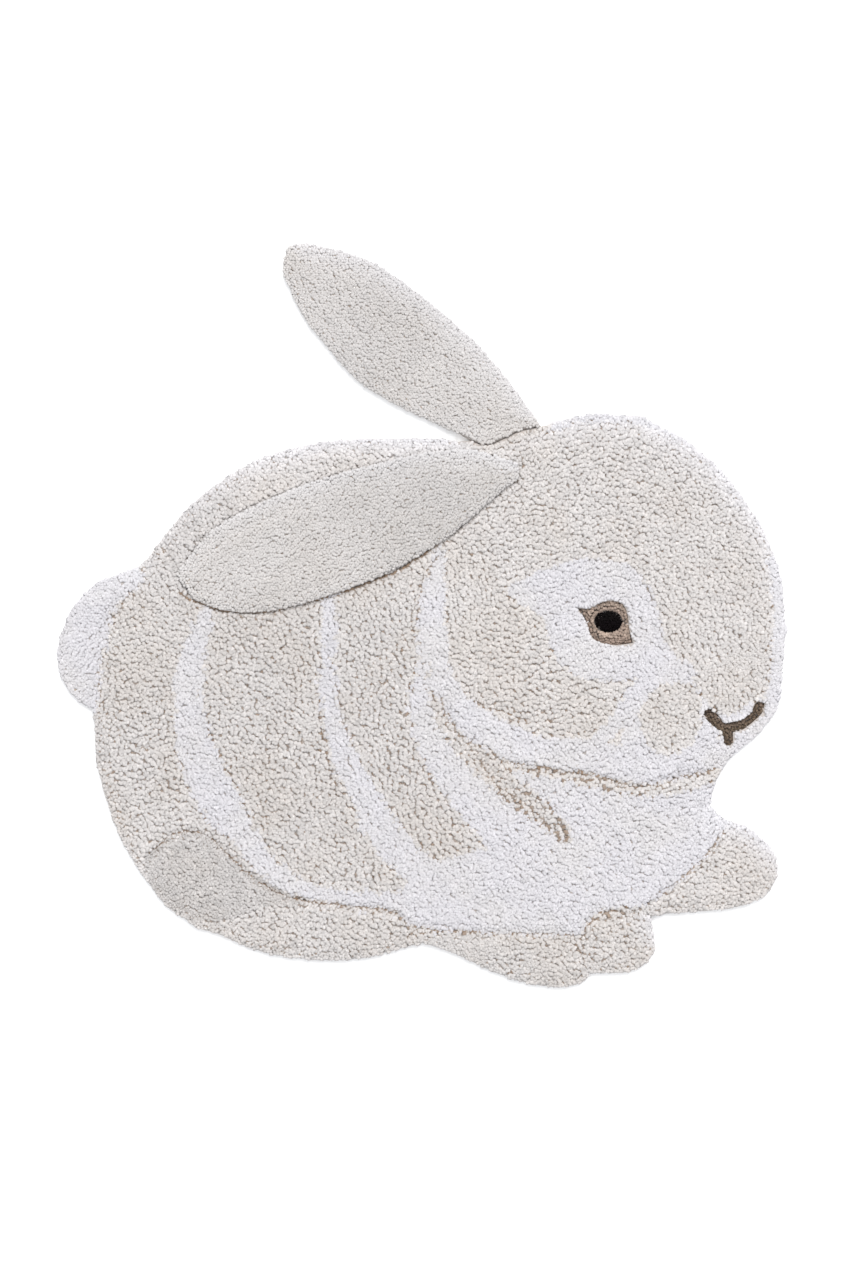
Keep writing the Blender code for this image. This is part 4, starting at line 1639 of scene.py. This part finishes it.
@dataclass
class BodyPanel:
    """The rug's body: haunch, back, head, paws and tail in one tufted panel.

    Args:
        bed: Height of the top of its roots.
        margin: Least depth of a root inside the pile's outline.
    """

    bed: float = BODY_BED
    margin: float = 0.0022

    def build(self, dresser: Dresser) -> list[bpy.types.Object]:
        """Tufts the body in its beige and white yarns.

        Args:
            dresser: Gives the pieces their finish.

        Returns:
            The pile pieces.
        """
        draw = np.random.default_rng(SEED)
        pile = PileField("rug_body", self.bed, Comb(COMB_ROWS), 4 * MM, MOOD_ROWS,
                         seam_with=("far_ear",), cut_for=("near_ear", "eye_iris", "eye_pupil", "mouth"))
        coarse = pile.places(COARSE.spacing, self.margin, draw)
        coarse = coarse[depth_in(FINE_STROKES, FINE_PATCHES, coarse) < 0]
        fine = pile.places(FINE.spacing, self.margin, draw)
        fine = fine[depth_in(FINE_STROKES, FINE_PATCHES, fine) >= 0]
        depth = white_depth(coarse)
        ragged = wobble(coarse, 90, 3.5)
        rough = np.where(coarse[:, 0] > 0.02, 0.5, 1.0)
        depth += rough * (ragged * 8 + draw.normal(0, 2.0, len(coarse))) * MM
        blend = np.exp(-np.abs(depth) / BORDER_REACH)
        made = []
        beige = pile.tuft(coarse[depth < 0], COARSE, draw, PARTINGS, 0.35 * blend[depth < 0])
        white = pile.tuft(coarse[depth >= 0], SOFT, draw, PARTINGS, -0.7 * blend[depth >= 0])
        skirt = pile.skirt(SKIRT_SPACING, draw)
        white_rim = white_depth(skirt.root[:, :2]) >= 0
        for label, slot, chosen in (("beige", Slot.BEIGE, ~white_rim), ("white", Slot.WHITE, white_rim)):
            piece = skirt.only(chosen).mesh(f"rim_{label}", HANGING_LOCK)
            made.append(dresser.dress(piece, slot))
        for label, slot, locks, parts in (("beige", Slot.BEIGE, beige, self.beige_parts),
                                          ("white", Slot.WHITE, white, self.white_parts)):
            part = parts(locks.root[:, :2])
            for name in sorted(set(part)):
                piece = locks.only(part == name).mesh(f"pile_{label}_{name}", STANDING_LOCK)
                made.append(dresser.dress(piece, slot))
        foot = depth_in((), FINE_PATCHES, fine) >= 0
        smooth = pile.tuft(fine[~foot], FINE, draw, PARTINGS).joined(
            pile.tuft(fine[foot], SHADOWED_FOOT, draw, PARTINGS))
        made.append(dresser.dress(smooth.mesh("pile_beige_smooth", STANDING_LOCK), Slot.BEIGE))
        return made

    @staticmethod
    def beige_parts(spots: np.ndarray) -> np.ndarray:
        """Names the part of the body that each beige lock belongs to.

        Args:
            spots: Roots in plan, shaped (count, 2).

        Returns:
            The names.
        """
        x, y = spots[:, 0], spots[:, 1]
        part = np.where(x > 0.02, "head", "back")
        part = np.where((x > 0.02) & (y > 0.12), "forehead", part)
        part = np.where((y < 0.04) & (x <= -0.14), "haunch", part)
        part = np.where((y < 0.04) & (x > -0.14) & (x <= 0.02), "flank", part)
        return np.where((y < -0.4) | ((y < -0.24) & (x > 0.12)), "feet", part)

    @staticmethod
    def white_parts(spots: np.ndarray) -> np.ndarray:
        """Names the part of the body that each white lock belongs to.

        Args:
            spots: Roots in plan, shaped (count, 2).

        Returns:
            The names.
        """
        x, y = spots[:, 0], spots[:, 1]
        part = np.where(x < -0.4, "tail", "bands")
        part = np.where((x > 0.02) & (y > -0.25), "face", part)
        return np.where((y <= -0.25) & (x > 0.02), "belly", part)


@dataclass
class EarPanel:
    """An ear: a panel of finer pile.

    Args:
        node: CAD node of the ear.
        label: Maker's word for the ear.
        bed: Height of the top of its roots.
        seam_with: Nodes that its rim is sewn to.
        seed: Seed of its chance.
        upright: How little its rim splays where it faces the window, from 0 to 1.
    """

    node: str
    label: str
    bed: float
    seam_with: Sequence[str]
    seed: int
    upright: float = 0.0

    def build(self, dresser: Dresser) -> list[bpy.types.Object]:
        """Tufts the ear.

        Args:
            dresser: Gives the pieces their finish.

        Returns:
            The pile pieces.
        """
        draw = np.random.default_rng(self.seed)
        pile = PileField(self.node, self.bed, Comb(EAR_COMB_ROWS), 3 * MM, EAR_MOOD_ROWS,
                         self.seam_with, upright=self.upright)
        spots = pile.places(FINE.spacing, 1.6 * MM, draw)
        locks = pile.tuft(spots, FINE, draw)
        rim = pile.skirt(SKIRT_SPACING, draw)
        pieces = (locks.mesh(f"pile_{self.label}", STANDING_LOCK),
                  rim.mesh(f"rim_{self.label}", HANGING_LOCK))
        return [dresser.dress(piece, Slot.EAR) for piece in pieces]


@dataclass
class Inlay:
    """A small area of coloured pile tufted into the body.

    Args:
        node: CAD node of the area.
        label: Maker's word for it.
        slot: Its yarn.
        seed: Seed of its chance.
        cut_for: Nodes that take its place.
        flecks: Places in millimetres of lighter and darker locks, with their lightness.
        bed: Height of the top of the roots under it.
    """

    node: str
    label: str
    slot: Slot
    seed: int
    cut_for: Sequence[str] = ()
    flecks: Points = ()
    bed: float = 0.0080

    def build(self, dresser: Dresser) -> bpy.types.Object:
        """Tufts the area with short upright locks.

        Args:
            dresser: Gives the piece its finish.

        Returns:
            The piece.
        """
        draw = np.random.default_rng(self.seed)
        pile = PileField(self.node, self.bed, Comb(COMB_ROWS), 0, cut_for=self.cut_for)
        spots = pile.places(INLAY.spacing, 1.2 * MM, draw)
        tone = np.zeros(len(spots))
        for x, y, lightness in self.flecks:
            away = np.hypot(spots[:, 0] - x * MM, spots[:, 1] - y * MM)
            tone += lightness * np.exp(-(away / (4 * MM)) ** 2)
        locks = pile.tuft(spots, INLAY, draw, tone=tone)
        piece = dresser.dress(locks.mesh(f"pile_{self.label}", STANDING_LOCK), self.slot)
        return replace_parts(piece, self.node)


# The studio


@dataclass
class Studio:
    """Floor, light and camera.

    Args:
        middle: Point on the pile that the picture is centred on.
        distance: Height of the camera over the pile.
        view_height: Height of what the picture shows.
        sensor: Height of the camera's sensor, in millimetres.
        floor_glow: Light that the pale floor gives off, as a studio's lit sweep does.
    """

    middle: tuple[float, float, float] = (0.00825, -0.03675, 0.015)
    distance: float = 4.0
    view_height: float = 1.92
    sensor: float = 36.0
    floor_glow: float = 0.12

    def floor(self) -> None:
        """Lays the plain pale floor."""
        deselect()
        bpy.ops.mesh.primitive_plane_add(size=1, location=(0, 0, -0.0002))
        floor = bpy.context.object
        floor.name = "floor"
        bpy.ops.object.mode_set(mode="EDIT")
        bpy.ops.mesh.select_all(action="SELECT")
        bpy.ops.transform.resize(value=(16, 16, 1))
        bpy.ops.mesh.subdivide(number_cuts=3)
        bpy.ops.object.mode_set(mode="OBJECT")
        bpy.ops.object.transform_apply(location=True, rotation=True, scale=True)
        material, tree, shader = new_material("floor_paper")
        shader.inputs["Roughness"].default_value = 0.9
        shader.inputs["Specular IOR Level"].default_value = 0.1
        shader.inputs["Emission Color"].default_value = (1, 1, 1, 1)
        shader.inputs["Emission Strength"].default_value = self.floor_glow
        grain = tree.add("ShaderNodeTexNoise", in_2=3.0)
        tree.join(tree.add("ShaderNodeTexCoord").outputs["Object"], grain.inputs["Vector"])
        tree.join(tree.mix(grain.outputs["Fac"], (0.94, 0.94, 0.94, 1), (0.96, 0.96, 0.96, 1)),
                  shader.inputs["Base Color"])
        floor.data.materials.append(material)

    def lights(self) -> None:
        """Sets the soft light: pale surroundings and one broad light from behind the rabbit's back."""
        world = bpy.data.worlds.new("studio")
        world.use_nodes = True
        world.node_tree.nodes["Background"].inputs[0].default_value = (0.97, 0.98, 1.0, 1)
        world.node_tree.nodes["Background"].inputs[1].default_value = 1.02
        bpy.context.scene.world = world
        data = bpy.data.lights.new("window", "SUN")
        data.energy = 1.6
        data.angle = math.radians(30)
        data.color = (1.0, 0.985, 0.97)
        sun = bpy.data.objects.new("window", data)
        sun.rotation_euler = Vector((0.2, 1.0, 1.5)).to_track_quat("Z", "Y").to_euler()
        bpy.context.scene.collection.objects.link(sun)

    def camera(self) -> None:
        """Hangs the camera straight over the rug."""
        data = bpy.data.cameras.new("camera")
        data.sensor_width = self.sensor
        data.lens = self.sensor * self.distance / self.view_height
        data.clip_end = 50
        camera = bpy.data.objects.new("camera", data)
        camera.location = (self.middle[0], self.middle[1], self.middle[2] + self.distance)
        bpy.context.scene.collection.objects.link(camera)
        bpy.context.scene.camera = camera

    def build(self) -> None:
        """Builds floor, light and camera."""
        self.floor()
        self.lights()
        self.camera()
        bpy.context.scene.view_settings.view_transform = "Standard"


def main() -> None:
    """Builds the rug's pieces in order, and the studio around them."""
    logging.basicConfig(level=logging.INFO, format="%(message)s")
    Studio().build()
    groups = {"yarn colour and painted light": yarn_colour_and_painted_light_group(), "yarn fibres": fibre_group()}
    yarns = (BEIGE_YARN, WHITE_YARN, EAR_YARN, BROWN_YARN, BLACK_YARN, MOUTH_YARN)
    materials = {yarn.slot: yarn.material(groups) for yarn in yarns}
    materials[Slot.BACKING] = BackingFinish().material()
    dresser = Dresser(materials)
    piles = {
        "body": BodyPanel().build(dresser),
        "far_ear": EarPanel("far_ear", "far_ear", FAR_EAR_BED, ("rug_body",), SEED + 1).build(dresser),
        "near_ear": EarPanel("near_ear", "near_ear", NEAR_EAR_BED, (), SEED + 2, 0.85).build(dresser),
    }
    Inlay("eye_iris", "iris", Slot.BROWN, SEED + 3, ("eye_pupil",), IRIS_FLECKS).build(dresser)
    Inlay("eye_pupil", "pupil", Slot.BLACK, SEED + 4).build(dresser)
    Inlay("mouth", "mouth", Slot.DARK_BROWN, SEED + 5).build(dresser)
    for node, label, bed, slot, flat, area, under in PANELS:
        foundation = Foundation(node, label, bed)
        roots = dresser.dress(foundation.roots(), slot)
        cloth = dresser.dress(foundation.backing(), Slot.BACKING)
        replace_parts(roots, node)
    total = sum(len(o.data.polygons) for o in bpy.data.objects if o.type == "MESH" and "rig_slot" in o)
    LOG.info("triangles in all: %d", total)


if __name__ == "__main__":
    main()
